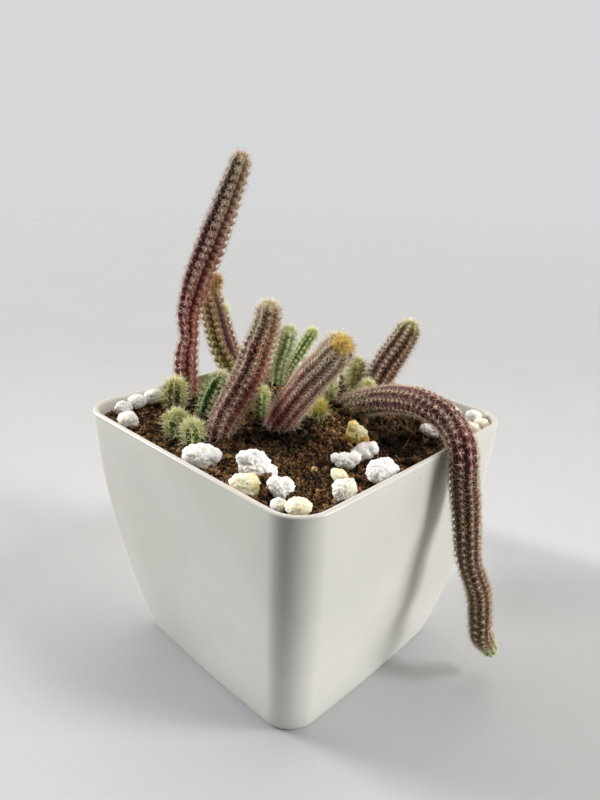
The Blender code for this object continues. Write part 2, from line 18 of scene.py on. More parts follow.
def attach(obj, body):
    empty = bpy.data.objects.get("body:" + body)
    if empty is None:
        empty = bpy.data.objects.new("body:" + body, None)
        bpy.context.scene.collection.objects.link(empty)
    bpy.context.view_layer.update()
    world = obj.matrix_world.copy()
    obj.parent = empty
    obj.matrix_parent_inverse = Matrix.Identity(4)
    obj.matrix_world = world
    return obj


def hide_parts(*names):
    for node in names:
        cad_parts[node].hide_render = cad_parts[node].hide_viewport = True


bl_info = {
    "name": "Potted Rat Tail Cactus",
    "version": (1, 0, 0),
    "blender": (4, 5, 0),
    "location": "3D View > Sidebar > Cactus",
    "description": "Dresses the frame of a potted rat tail cactus and sets up a studio round it",
    "category": "Object",
}

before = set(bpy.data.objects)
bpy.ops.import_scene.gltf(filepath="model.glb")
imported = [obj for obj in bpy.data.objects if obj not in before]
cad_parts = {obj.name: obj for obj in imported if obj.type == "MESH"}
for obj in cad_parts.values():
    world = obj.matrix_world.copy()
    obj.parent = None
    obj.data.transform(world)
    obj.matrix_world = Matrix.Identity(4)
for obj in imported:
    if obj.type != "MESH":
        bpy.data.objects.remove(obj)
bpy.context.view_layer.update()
MM = 0.001

# The pot, as in the part's source.
POT_HEIGHT = 0.0836
POT_TOP_HALF = 0.050
POT_BASE_HALF = 0.0384
POT_CORNER_TOP = 0.0108
POT_CORNER_BASE = 0.0102
POT_BOW_TOP = 0.0002
POT_BOW_BASE = 0.0006
POT_WALL = 0.0018
POT_FLOOR = 0.0022
POT_EDGE = 0.0007
# How far below the rim its painted shade begins, and where it is full.
RIM_SHADE_START = 0.0014
RIM_SHADE_END = 0.0002
WALL_STRAIGHT_SHARE = 0.222
WALL_CURVE_POWER = 2.18
DRAIN_RADIUS = 0.003
DRAIN_OFFSET = 0.020
DRAIN_SIDES = 32
CORNER_STEPS = 14
SIDE_STEPS = 10
WALL_LEVELS = 22
EDGE_ANGLES = (15, 35, 55, 75)
SHARP_ANGLE = math.radians(50)

# The soil, as in the part's source, with clods and crumbs added.
SOIL_EDGE = 0.0792
SOIL_MOUND_HEIGHT = 0.0040
SOIL_MOUND_CENTRE = (-0.006, -0.002)
SOIL_MOUND_SPREAD = 0.022
SOIL_HOLLOW_DEPTH = 0.0060
SOIL_HOLLOW_CENTRE = (0.031, 0.019)
SOIL_HOLLOW_SPREAD = 0.009
SOIL_LUMP_HEIGHT = 0.0008
SOIL_LUMP_LENGTH = 0.007
SOIL_GRID = 230
SOIL_WALL_GAP = 0.0001
# Heights of the rings down the soil's sides.
SOIL_LEVELS = (0.076, 0.066, 0.051, 0.038, 0.026, 0.015, 0.006, POT_FLOOR + 0.0003)
CLOD_LENGTH = 0.0042
CLOD_HEIGHT = 0.0017
CRUMB_LENGTH = 0.0015
CRUMB_HEIGHT = 0.0009
GRAIN_LENGTH = 0.0006
GRAIN_HEIGHT = 0.0005
LUMP_STEEPNESS = 1.6
LUMP_LEVEL = 0.7
# How far the clods' outlines wander, and over what length.
CLOD_WANDER = (0.0009, 0.0021)
# Patches with and without clods: the usual share of their height, how much it varies, and over what length.
CLOD_PATCHES = (0.5, 0.9, 0.011)
SOIL_SEED = 11
# Loose pieces of soil: their count, usual size, how much that varies, and the detail of their shape.
LOOSE_SOIL = {
    "soil_crumbs": (5500, 0.00034, 0.35, 1),
    "soil_clumps": (900, 0.00078, 0.40, 2),
    "soil_grains": (4900, 0.00021, 0.30, 0),
}
# Their smallest and largest size and their distance from the wall, as shares of the usual size.
LOOSE_SIZES = (0.5, 2.4)
LOOSE_MARGIN = 2.2
# How high their middles lie above the soil, as a share of their own size, and their uneven form.
LOOSE_RISES = (-0.3, 0.8)
LOOSE_SQUASH = 0.8
LOOSE_ROUGHNESS = (0.72, 1.2)
LOOSE_CUBE = 1.4
# Splinters of bark: their length, its limits and how much it varies, and their form and how they lie.
CHIP_COUNT = 45
CHIP_LENGTH = 0.0017
CHIP_LENGTHS = (0.0009, 0.0042)
CHIP_SPREAD = 0.4
CHIP_FORM = (0.5, 1.0, 0.22)
CHIP_BEVEL = 0.07
CHIP_MARGIN = 0.002
CHIP_RISE = 0.12
CHIP_TILT = 0.45
# Thin roots on the soil.
FIBRE_COUNT = 150
FIBRE_MARGIN = 0.004
FIBRE_RISE = 0.0004
FIBRE_LENGTHS = (0.003, 0.008)
FIBRE_RADIUS = 0.00010
# Dark spots, as x, y and radius. The first paints the shadow of the arching stem in the hollow below it; the
# others darken the soil in patches.
DARK_SPOTS = (
    (0.031, 0.018, 0.015), (0.006, -0.014, 0.012), (-0.012, -0.030, 0.010), (-0.030, -0.014, 0.009),
)
# Tangles of dry bristles at the feet of the stems, as x, y and count.
TANGLES = (
    (0.009, 0.021, 260), (0.014, 0.018, 120), (-0.003, -0.010, 60), (0.001, 0.034, 70),
    (-0.040, -0.013, 60), (-0.008, -0.029, 60),
)
TANGLE_SPREAD = 0.0026
TANGLE_HEIGHT = 0.0016
TANGLE_LENGTHS = (0.0015, 0.0040)
TANGLE_RADIUS = 0.00007

# Dry twigs in the hollow, as x, y and z of both ends in millimetres.
TWIGS = (
    (33.4, 13.0, 76.5, 30.0, 22.8, 79.0),
    (31.0, 15.5, 76.0, 33.5, 20.5, 77.0),
    (34.3, 23.1, 79.5, 38.4, 20.0, 77.5),
    (35.5, 24.5, 78.5, 36.5, 18.7, 78.0),
)
TWIG_RADIUS = 0.00013
# How far roots, dry bristles and twigs bend aside.
LITTER_BEND = 0.0014
# The joint of a needle: its height and its radius, as shares of the needle's.
NEEDLE_JOINT = (0.5, 0.72)

# Ribs of each stem, and the distance between the knobs on a rib. Every knob carries an areole.
STEM_HABITS = {
    "stem_tall": (7, 0.0028),
    "stem_back_left": (8, 0.0028),
    "stem_front_left": (8, 0.0019),
    "stem_forward": (10, 0.0021),
    "stem_back_right": (9, 0.0018),
    "stem_hanging": (9, 0.0021),
}
OFFSET_RIBS = 8
OFFSET_PITCH = 0.0021
VALLEY_DEPTH = 0.06
KNOB_DEPTH = 0.23
CREST_POWER = 2.4
TWIST_PER_METRE = 6.0
SHAFT_SHARE = 0.74
STEM_BURIED = 0.012
OFFSET_BURIED = 0.007
FUZZY_FLESH_SHARE = 0.78
SPARSE_FLESH_SHARE = 0.94
SHAFT_RISE = 0.0025
TIP_LENGTH = 0.003
CURVE_STEPS = 12
COLUMN_WIDTH = 0.00047
ROW_HEIGHT = 0.00039
# Rings of areoles over the rounded tip, in degrees, and the angle from which only every other rib has one.
DOME_STEPS = (18, 37, 55, 72)
DOME_THINNED = 45
CAP_ANGLES = (10, 20, 30, 40, 50, 60, 70, 79, 86)
AREOLE_SPOT = 0.0006

# Routes of the large stems: x, y, z and the radius over the ribs, in millimetres.
TALL_ROUTE = (
    (-42.5, -13.0, 81.5, 3.8), (-43.5, -12.5, 88.5, 4.0), (-44.5, -11.5, 95.0, 3.8),
    (-44.5, -10.0, 101.0, 3.1), (-45.5, -9.5, 107.5, 3.8), (-45.5, -8.0, 113.5, 4.3),
    (-45.0, -6.0, 119.5, 4.7), (-44.0, -4.0, 125.5, 4.9), (-43.0, -1.5, 131.5, 5.0),
    (-42.0, 0.5, 137.5, 4.9), (-41.0, 3.0, 143.5, 4.6), (-40.0, 5.0, 149.5, 4.2),
    (-39.0, 7.0, 155.0, 3.8), (-38.5, 9.5, 161.6, 3.4),
)
BACK_LEFT_ROUTE = (
    (-31.0, 4.0, 81.5, 4.5), (-38.0, 5.0, 88.5, 4.8), (-43.0, 5.0, 93.5, 5.0),
    (-48.5, 6.5, 100.0, 5.0), (-53.5, 8.0, 106.5, 4.7), (-58.0, 9.5, 112.5, 3.7),
    (-60.0, 10.0, 115.0, 3.2),
)
BACK_LEFT_KNOB = (
    (-57.5, 9.0, 111.0, 1.9), (-57.0, 10.5, 114.5, 2.0), (-56.0, 11.5, 118.0, 1.9),
)
BACK_LEFT_BUD = (
    (-53.0, 8.5, 104.0, 1.9), (-51.8, 9.6, 105.6, 1.9), (-50.8, 10.6, 107.4, 1.8),
)
FRONT_LEFT_ROUTE = (
    (-5.0, -28.5, 81.0, 3.7), (-5.0, -26.0, 87.0, 4.2), (-4.0, -23.5, 91.5, 4.4),
    (-3.0, -21.0, 96.0, 4.6), (-2.5, -18.0, 101.0, 4.7), (-2.0, -16.0, 106.5, 4.6),
    (-2.0, -13.5, 111.5, 4.1), (-2.0, -12.0, 116.0, 3.6), (-2.5, -11.0, 120.5, 3.4),
)
FORWARD_ROUTE = (
    (2.5, -11.0, 82.0, 4.2), (8.5, -12.5, 90.0, 4.5), (16.5, -15.0, 99.0, 4.6),
    (24.0, -18.0, 106.5, 4.5), (31.0, -20.5, 112.8, 4.2), (37.6, -23.8, 119.2, 3.9),
)
BACK_RIGHT_ROUTE = (
    (2.0, 37.5, 81.0, 4.4), (2.5, 40.5, 87.0, 4.8), (3.5, 43.0, 92.0, 5.0),
    (5.0, 46.0, 97.0, 4.9), (6.0, 49.0, 101.5, 4.5), (7.0, 51.5, 107.0, 4.2),
)
HANGING_ROUTE = (
    (5.0, 22.0, 81.0, 4.0), (13.5, 21.0, 85.5, 4.2), (20.0, 20.5, 88.5, 4.2),
    (26.0, 19.5, 90.5, 4.3), (34.5, 17.5, 92.5, 4.3), (40.0, 16.5, 92.5, 4.2),
    (45.0, 16.0, 91.5, 4.2), (49.5, 15.0, 88.9, 4.1), (53.0, 13.0, 86.8, 4.1),
    (55.0, 12.0, 83.0, 4.1), (55.5, 13.0, 76.0, 4.1), (56.5, 14.0, 69.0, 4.1),
    (57.5, 14.5, 62.5, 3.9), (59.0, 14.0, 56.0, 3.7), (60.0, 14.5, 50.0, 3.4),
    (61.5, 16.0, 44.5, 3.4), (62.5, 18.5, 39.0, 3.5), (63.5, 19.5, 33.5, 3.5),
    (65.0, 18.5, 27.5, 3.3), (65.5, 19.5, 22.0, 3.1), (66.0, 24.0, 16.0, 2.8),
    (66.0, 28.0, 10.5, 2.4),
)
STEM_ROUTES = {
    "stem_tall": TALL_ROUTE,
    "stem_back_left": BACK_LEFT_ROUTE,
    "stem_front_left": FRONT_LEFT_ROUTE,
    "stem_forward": FORWARD_ROUTE,
    "stem_back_right": BACK_RIGHT_ROUTE,
    "stem_hanging": HANGING_ROUTE,
}
OFFSET_ROUTES = {
    "offset_left": ((-36.5, -22.5, 80.5, 3.6), (-36.5, -22.5, 85.0, 4.1), (-36.5, -22.0, 90.0, 4.0)),
    "offset_front_a": ((-17.0, -35.5, 79.5, 3.2), (-17.0, -35.5, 83.5, 3.8), (-17.0, -35.0, 87.6, 3.7)),
    "offset_front_b": ((-8.0, -36.0, 79.5, 3.0), (-8.0, -36.0, 83.2, 3.7), (-8.5, -36.0, 87.2, 3.6)),
    "offset_dark_green": ((-21.5, -20.5, 81.5, 3.4), (-20.0, -19.0, 88.0, 4.0), (-17.5, -17.0, 95.5, 3.8)),
    "offset_green_tall": (
        (-30.0, 20.0, 81.0, 2.8), (-29.5, 20.5, 89.0, 3.1), (-28.0, 22.0, 96.0, 3.2),
        (-27.0, 22.5, 102.5, 2.9),
    ),
    "offset_green_thin": ((-38.0, 33.0, 80.0, 2.1), (-35.0, 36.0, 88.0, 2.3), (-31.0, 40.0, 98.0, 2.1)),
    "offset_behind_forward": ((-6.0, -10.5, 82.5, 2.2), (-6.0, -10.5, 87.0, 2.6), (-6.0, -10.5, 92.0, 2.4)),
    "offset_golden": ((6.0, 3.5, 82.0, 2.8), (6.0, 3.5, 84.5, 3.6), (6.0, 3.0, 87.8, 3.5)),
    "offset_middle": ((-3.0, 19.0, 81.5, 1.9), (-3.0, 19.0, 85.5, 2.2), (-3.0, 19.0, 90.5, 2.1)),
    "offset_back": ((-7.0, 38.0, 80.5, 3.0), (-6.8, 38.0, 86.0, 3.7), (-6.6, 38.0, 92.5, 3.5)),
    "offset_back_small": ((4.0, 30.0, 80.5, 1.7), (4.5, 30.0, 84.0, 1.9), (5.0, 30.5, 88.0, 1.8)),
    "offset_back_left_small": ((-43.0, 16.0, 79.5, 1.7), (-43.0, 16.0, 85.0, 1.9), (-43.5, 16.0, 91.5, 1.8)),
}

# Colours of the flesh from foot to tip, as (share of the length, colour), on a stem's left and right.
FLESH_COLOURS = {
    "stem_tall": (
        ((0.10, "7c343a"), (0.35, "962c3e"), (0.62, "7c3640"), (0.85, "6e4c48"), (1.0, "806658")),
        ((0.10, "84443e"), (0.35, "8a363c"), (0.62, "865046"), (0.85, "86684e"), (1.0, "907856")),
    ),
    "stem_back_left": (
        ((0.20, "7c8038"), (0.60, "807838"), (0.90, "80664a"), (1.0, "94805c")),
        ((0.20, "706438"), (0.45, "6a3c44"), (0.85, "684444"), (1.0, "8c744c")),
    ),
    "stem_front_left": (
        ((0.20, "6c3034"), (0.45, "7a3434"), (0.75, "724c36"), (0.93, "6a5c36"), (1.0, "a8986c")),
        ((0.20, "703630"), (0.45, "8c3e34"), (0.75, "905434"), (0.93, "84663a"), (1.0, "b4a070")),
    ),
    "stem_forward": (
        (
            (0.19, "70403a"), (0.27, "b83a4c"), (0.45, "a4444c"), (0.70, "845044"), (0.968, "84704e"),
            (1.0, "e8bc6c"),
        ),
        (
            (0.19, "6c403a"), (0.27, "a43848"), (0.45, "944a4c"), (0.70, "8c5c4a"), (0.968, "907a56"),
            (1.0, "f0c070"),
        ),
    ),
    "stem_back_right": (
        ((0.25, "704040"), (0.60, "6e4442"), (0.85, "6c5a3c"), (1.0, "7a7838")),
        ((0.25, "783c40"), (0.60, "7c4a48"), (0.85, "806844"), (1.0, "848040")),
    ),
    "stem_hanging": (
        (
            (0.10, "5a4838"), (0.20, "602a2c"), (0.45, "6a2a2c"), (0.58, "5c402e"), (0.925, "5c4c36"),
            (0.948, "649040"),
        ),
        (
            (0.10, "5a4838"), (0.20, "6a282c"), (0.45, "76262e"), (0.58, "6a4030"), (0.925, "664e36"),
            (0.948, "74a04c"),
        ),
    ),
}
# Colours of the offsets: at the foot and the tip on the left, and at the foot and the tip on the right.
OFFSET_COLOURS = {
    "offset_left": ("4c5a24", "8c9a48", "454a22", "848c44"),
    "offset_front_a": ("4c7828", "7c983c", "3c6820", "788c38"),
    "offset_front_b": ("4c702a", "788c40", "446824", "78883c"),
    "offset_dark_green": ("236e2c", "4c8c3c", "1f6426", "5c883c"),
    "offset_green_tall": ("c0e4a8", "d0ecb4", "b8dca0", "cce4ac"),
    "offset_green_thin": ("4c8c30", "74a83c", "4c882c", "7ca83c"),
    "offset_behind_forward": ("58a04a", "84b458", "589444", "90ac50"),
    "offset_golden": ("5ca83c", "b4d858", "5ca03a", "c4d058"),
    "offset_middle": ("74b450", "a8cc6c", "74a84a", "a8c460"),
    # Painted light: the offset at the back has much paler colours, to stand in for light that the stems round
    # it block.
    "offset_back": ("bcdc6c", "f0f8a4", "b4d068", "f0f09c"),
    "offset_back_small": ("5c8440", "8ca454", "5c7c3a", "8c9e50"),
    "offset_back_left_small": ("6c7a34", "8c984c", "686f34", "889048"),
}
OFFSET_FOOT_SHARE = 0.3
SPARSE_OFFSETS = ("offset_dark_green", "offset_green_tall", "offset_green_thin", "offset_behind_forward")

# Hues of the bristles, by number, and how far either side of tan the numbers can go.
HUE_NUMBERS = {"pale": -1.2, "white": -0.5, "tan": 0.0, "gold": 0.8, "orange": 1.4}
HUE_REACH = 1.5
# Hues along a stem, as (share of the length, hue on the left, hue on the right).
BRISTLE_HUES = {
    "stem_tall": (
        (0.0, -0.2, 0.0), (0.3, -0.5, -0.1), (0.6, -0.5, 0.0), (0.85, -0.55, -0.4), (1.0, -0.55, -0.5),
    ),
    "stem_back_left": ((0.0, 0.3, 0.2), (1.0, 0.1, 0.0)),
    "stem_back_left_knob": ((0.0, 0.1, 0.1), (1.0, 0.1, 0.1)),
    "stem_back_left_bud": ((0.0, 0.4, 0.4), (1.0, 0.4, 0.4)),
    "stem_front_left": ((0.0, -0.45, -0.25), (1.0, -0.5, -0.2)),
    "stem_forward": ((0.0, -0.4, -0.3), (1.0, -0.6, -0.5)),
    "stem_back_right": ((0.0, -0.35, -0.2), (1.0, -0.4, -0.1)),
    "stem_hanging": (
        (0.0, -0.4, -0.4), (0.5, -0.4, -0.35), (0.6, -0.15, -0.1), (0.93, -0.2, -0.15), (0.95, -1.1, -1.0),
    ),
}
# The tuft at the tip: its hue, and how far down the stem the hue reaches.
TIP_TUFTS = {
    "stem_tall": (-0.2, 0.0012),
    "stem_back_left": (0.1, 0.002),
    "stem_back_left_knob": (0.1, 0.002),
    "stem_back_left_bud": (-1.2, 0.003),
    "stem_front_left": (-0.80, 0.0026),
    "stem_forward": (1.05, 0.0015),
    "stem_back_right": (-1.0, 0.0022),
    "stem_hanging": (-1.2, 0.0008),
    "offset_golden": (0.80, 0.003),
    "offset_dark_green": (-0.9, 0.003),
}
OFFSET_HUES = ((0.0, -1.1, -1.0), (1.0, -1.2, -1.1))
OFFSET_TUFT = (-1.25, 0.003)
for offset in OFFSET_ROUTES:
    BRISTLE_HUES[offset] = OFFSET_HUES
    TIP_TUFTS.setdefault(offset, OFFSET_TUFT)
# Painted light: the offset at the back has whiter bristles, to stand in for light that the stems round it
# block.
BRISTLE_HUES["offset_back"] = ((0.0, -0.8, -0.8), (1.0, -0.7, -0.7))

# Kinds of bristles round an areole: count, tilts from straight out in degrees, lengths and radius.
STEM_BRISTLES = (
    (10, (60, 86), (0.0017, 0.0030), 0.000082),
    (2, (10, 50), (0.0016, 0.0028), 0.000060),
)
NET_BRISTLES = (
    (9, (62, 88), (0.0014, 0.0026), 0.000079),
    (2, (15, 50), (0.0012, 0.0022), 0.000058),
)
FINE_BRISTLES = (
    (10, (60, 88), (0.0012, 0.0024), 0.000066),
    (3, (10, 50), (0.0014, 0.0026), 0.000055),
)
OFFSET_BRISTLES = (
    (7, (35, 80), (0.0018, 0.0035), 0.000110),
    (3, (0, 35), (0.0018, 0.0037), 0.000106),
)
SPARSE_BRISTLES = (
    (6, (40, 80), (0.0014, 0.0028), 0.000090),
    (2, (0, 40), (0.0016, 0.0030), 0.000080),
)
BRISTLE_KINDS = {
    "stem_hanging": NET_BRISTLES,
    "stem_forward": FINE_BRISTLES,
    "stem_back_right": FINE_BRISTLES,
}
# How bristles vary: in their turn round the areole, width, lean towards the tip, bend and hue.
BRISTLE_SCATTER = 0.4
BRISTLE_WIDTHS = (0.8, 1.2)
BRISTLE_LEAN = 0.12
BRISTLE_TIP_LEAN = 0.25
BRISTLE_BEND = 0.15
BRISTLE_HUE_SPREAD = 0.12
BRISTLE_HUE_CONTRAST = 0.8
# How far bristles keep out of the pot's wall and above the surface below.
BRISTLE_WALL_GAP = 0.0003
BRISTLE_FLOOR_GAP = 0.0005
# How much shorter the bristles are on a bare growing tip, and how long that is.
BARE_TIPS = {"stem_hanging": 0.7}
BARE_LENGTH = 0.0075
# How much longer the bristles are at a shaggy foot, and how far up that reaches.
SHAGGY_FEET = {"stem_hanging": 0.9, "stem_back_right": 0.4, "stem_forward": 0.5}
SHAGGY_LENGTH = 0.016
# Pads of wool: half their width, their length and height as shares of that, and how pale they are.
WOOL_SIZE = 0.00036
WOOL_SIZES = {"stem_hanging": 0.00044, "stem_back_right": 0.00042}
WOOL_LENGTH = 1.15
WOOL_HEIGHT = 0.7
WOOL_PALENESS = 0.85
# The tuft of bristles over a growing point, and the share of the rounded tip that it covers.
TUFT_COUNT = 60
TUFT_SHARE = 0.55
TUFT_SPLAY = 0.75
TUFT_SCATTER = 0.2
TUFT_LENGTHS = (0.0012, 0.0030)
TUFT_RADIUS = 0.00008
# Seeds of the bristles, to which the number of the bud or the offset is added.
BUD_SEED = 90
OFFSET_SEED = 50

# Stones: x, y, z of the middle and half sizes along their own axes and Z, in millimetres, the turn about Z in
# degrees, and how rusty they are on the left and on the right.
WHITE_STONES = (
    (3.4, -41.4, 81.7, 5.4, 4.3, 3.6, 43, 0.0, 0.0),
    (18.2, -34.0, 82.0, 5.5, 4.4, 4.3, 43, 0.0, 0.0),
    (31.6, -38.2, 82.2, 3.6, 3.1, 3.0, 60, 0.0, 0.0),
    (36.4, -43.4, 81.0, 2.2, 2.0, 1.9, 0, 0.1, 0.1),
    (31.8, -13.0, 81.8, 4.3, 3.0, 2.5, 43, 0.0, 0.0),
    (32.6, -5.0, 82.3, 4.0, 3.2, 3.1, 43, 0.0, 0.0),
    (43.0, -26.3, 81.6, 3.3, 3.2, 2.8, 0, 0.15, 0.35),
    (43.4, -11.0, 82.2, 3.8, 5.0, 3.2, 0, 0.0, 0.0),
    (32.4, 30.0, 78.7, 3.1, 2.7, 2.5, 43, 0.0, 0.0),
    (-32.7, -43.0, 81.6, 3.7, 3.2, 2.7, 0, 0.0, 0.0),
    (-42.0, -39.0, 81.8, 2.8, 2.9, 2.5, 0, 0.0, 0.0),
    (-44.3, -32.5, 82.0, 2.7, 3.0, 2.3, 0, 0.0, 0.0),
    (-44.0, -26.0, 82.2, 2.9, 3.2, 2.7, 0, 0.0, 0.0),
    (40.0, 44.0, 82.0, 2.7, 2.6, 2.4, 0, 0.0, 0.0),
    (33.0, 42.5, 81.3, 3.1, 3.0, 2.7, 0, 0.0, 0.0),
    (-22.0, 42.5, 80.6, 3.2, 3.0, 2.6, 0, 0.0, 0.0),
    (-40.0, 41.0, 80.4, 3.0, 2.8, 2.4, 0, 0.0, 0.0),
    (19.0, 38.5, 80.2, 3.4, 2.8, 2.4, 0, 0.0, 0.0),
)
OCHRE_STONES = (
    (24.2, -43.6, 81.7, 3.9, 3.3, 3.1, 43, 0.05, 0.60),
    (41.4, -41.4, 82.0, 3.3, 2.7, 2.1, 40, 0.10, 0.40),
    (25.0, 1.0, 83.3, 3.6, 3.0, 4.3, 43, 1.10, 0.30),
    (36.6, -20.6, 81.2, 3.5, 1.8, 1.7, 347, 0.25, 0.60),
    (44.5, 41.0, 81.8, 2.4, 2.4, 2.2, 0, 0.15, 0.15),
    (44.5, 35.0, 81.8, 2.5, 2.5, 2.0, 0, 0.15, 0.15),
    (-15.0, 31.0, 80.4, 2.8, 2.6, 2.2, 0, 0.5, 0.5),
)
STONE_SHIFT = Vector((3.7, 1.3, 0.0))
STONE_DETAIL = 5
FAR_STONE_DETAIL = 4
FAR_STONES = ("white_14", "white_15", "white_16", "white_17", "white_18", "ochre_05", "ochre_06", "ochre_07")
OCHRE_SEED = 40
LOBE_COUNT = 3
LOBE_OFFSETS = (0.40, 0.65)
LOBE_RADII = (0.38, 0.58)
BLOCK_REACH = 0.85
BLOCK_POWER = 2.8
CORE_RADIUS = 0.68
# Balls that give some stones their form: x and z of the middle and the radius, as shares of the half sizes.
STONE_FORMS = {
    "stone_white_01": ((-0.45, 0.15, 0.60), (-0.05, 0.15, 0.72), (0.55, 0.05, 0.50), (0.15, -0.30, 0.66)),
    "stone_white_02": ((-0.50, 0.40, 0.50), (-0.15, 0.40, 0.56), (-0.10, -0.05, 0.78), (0.55, -0.45, 0.48)),
    "stone_white_03": ((-0.30, 0.35, 0.58), (0.35, 0.10, 0.62), (0.0, -0.35, 0.60)),
    "stone_white_05": ((-0.75, 0.15, 0.45), (-0.25, -0.15, 0.66), (0.35, -0.15, 0.72), (0.80, 0.25, 0.56)),
    "stone_white_06": ((-0.50, -0.40, 0.62), (0.0, 0.0, 0.72), (0.50, 0.30, 0.58)),
    "stone_white_09": ((-0.45, 0.15, 0.62), (0.35, 0.25, 0.58), (0.40, -0.30, 0.60)),
    "stone_ochre_01": ((-0.30, 0.20, 0.70), (0.25, 0.25, 0.72), (0.25, -0.30, 0.70), (-0.10, -0.10, 0.74)),
    "stone_ochre_03": ((-0.40, 0.50, 0.50), (-0.35, -0.05, 0.66), (0.20, -0.05, 0.62), (0.45, -0.50, 0.54)),
}
KNUCKLE_BUMPS = 2.4
KNUCKLE_HEIGHT = 0.16
LUMP_BUMPS = 5.5
LUMP_HEIGHT = 0.11
PIT_BUMPS = 13.0
PIT_DEPTH = 0.06
# Share of a stone's points that lie within its half size.
STONE_WITHIN = 0.985

# The camera, as fitted to the photograph, and the studio.
CAMERA_PLACE = Vector((0.13230, -0.13788, 0.15984))
CAMERA_AZIMUTH = math.radians(43.56)
CAMERA_ELEVATION = math.radians(20.74)
CAMERA_ROLL = math.radians(2.18)
CAMERA_LENS = 28.17
CAMERA_FRAME = 36.0
CAMERA_REACH = (0.005, 50.0)
FLOOR_RADIUS = 3.0
FLOOR_SIDES = 96
# The floor fades out far from the pot and, sooner, towards the camera. It has painted shade behind the pot.
FLOOR_FADE = (0.35, 2.6)
FLOOR_EDGE = (0.126, 0.251)
FLOOR_BEHIND = (-0.42, 0.0)
FLOOR_TONE = 0.81
FLOOR_LIFT = 0.13
# A soft patch of painted shade on the floor to the right of the pot: its slope, place and edge, and where it
# begins to the right and the back.
SHADE_PATCH_SLOPE = 0.5
SHADE_PATCH_PLACE = 0.050
SHADE_PATCH_WIDTH = (0.048, 0.072)
SHADE_PATCH_START = (0.060, 0.095)
SHADE_PATCH_DEPTH = (-0.010, 0.030)
SHADE_PATCH_DARKNESS = 0.24
# Where the fill light is dim: the direction, and the stretch over which it fades.
FRONT_DIRECTION = (0.47, -0.88, 0.0)
FRONT_DIMMING = (-0.3, 0.3)
# Lights: the width in degrees, the direction that the light comes from and its colour.
LIGHTS = {
    "key": (12, (0.61, 0.29, 0.74), (1.0, 1.0, 0.99)),
    "right": (24, (0.82, 0.54, 0.20), (0.97, 0.995, 1.0)),
    "left": (22, (-0.87, -0.385, 0.31), (0.985, 0.99, 0.995)),
    "top": (60, (-0.16, 0.20, 0.97), (1.0, 0.96, 0.91)),
}
# Directions across the floor, to the right in the picture and towards the camera.
SCREEN_RIGHT = Vector((math.cos(CAMERA_AZIMUTH), math.sin(CAMERA_AZIMUTH), 0.0))
SCREEN_NEAR = Vector((math.sin(CAMERA_AZIMUTH), -math.cos(CAMERA_AZIMUTH), 0.0))


def linear(code):
    """A colour written as six hex digits, as linear red, green and blue."""
    values = [int(code[index:index + 2], 16) / 255 for index in (0, 2, 4)]
    return tuple(value / 12.92 if value <= 0.04045 else ((value + 0.055) / 1.055) ** 2.4 for value in values)


def opaque(colour):
    return (*colour[:3], 1.0)


# Materials.


class Signal:
    """A number that nodes work out. Reckoning with it adds Math nodes."""

    def __init__(self, nodes, socket):
        self.nodes = nodes
        self.socket = socket

    def __add__(self, other):
        return self.nodes.reckon("ADD", self, other)

    __radd__ = __add__

    def __sub__(self, other):
        return self.nodes.reckon("SUBTRACT", self, other)

    def __rsub__(self, other):
        return self.nodes.reckon("SUBTRACT", other, self)

    def __mul__(self, other):
        return self.nodes.reckon("MULTIPLY", self, other)

    __rmul__ = __mul__

    def above(self, low, high):
        """0 below low, 1 above high and smooth between them."""
        values = {"Value": self, "From Min": low, "From Max": high}
        node = self.nodes.node("ShaderNodeMapRange", {"interpolation_type": "SMOOTHSTEP"}, values)
        return Signal(self.nodes, node.outputs[0])


class Nodes:
    """The nodes of a material or a world, and the ways to add to them."""

    def __init__(self, tree):
        self.tree = tree

    def node(self, kind, settings=None, sockets=None):
        """Adds a node: its settings first, and then the values or links of its sockets."""
        node = self.tree.nodes.new(kind)
        for name, value in (settings or {}).items():
            if name == "stops":
                self.set_stops(node.color_ramp, value)
            else:
                setattr(node, name, value)
        for key, value in (sockets or {}).items():
            self.feed(node.inputs[key], value)
        return node

    def feed(self, target, value):
        """Links a signal or a socket to a socket, or sets its value."""
        if isinstance(value, Signal):
            self.tree.links.new(value.socket, target)
        elif isinstance(value, bpy.types.NodeSocket):
            self.tree.links.new(value, target)
        else:
            target.default_value = value

    @staticmethod
    def set_stops(ramp, stops):
        while len(ramp.elements) < len(stops):
            ramp.elements.new(1.0)
        for element, (position, colour) in zip(ramp.elements, stops):
            element.position = position
            element.color = opaque(colour)

    def reckon(self, operation, *values):
        node = self.node("ShaderNodeMath", {"operation": operation}, dict(enumerate(values)))
        return Signal(self, node.outputs[0])

    def dot(self, place, direction):
        """How far a place lies in a direction."""
        node = self.node("ShaderNodeVectorMath", {"operation": "DOT_PRODUCT"}, {0: place, 1: direction})
        return Signal(self, node.outputs["Value"])


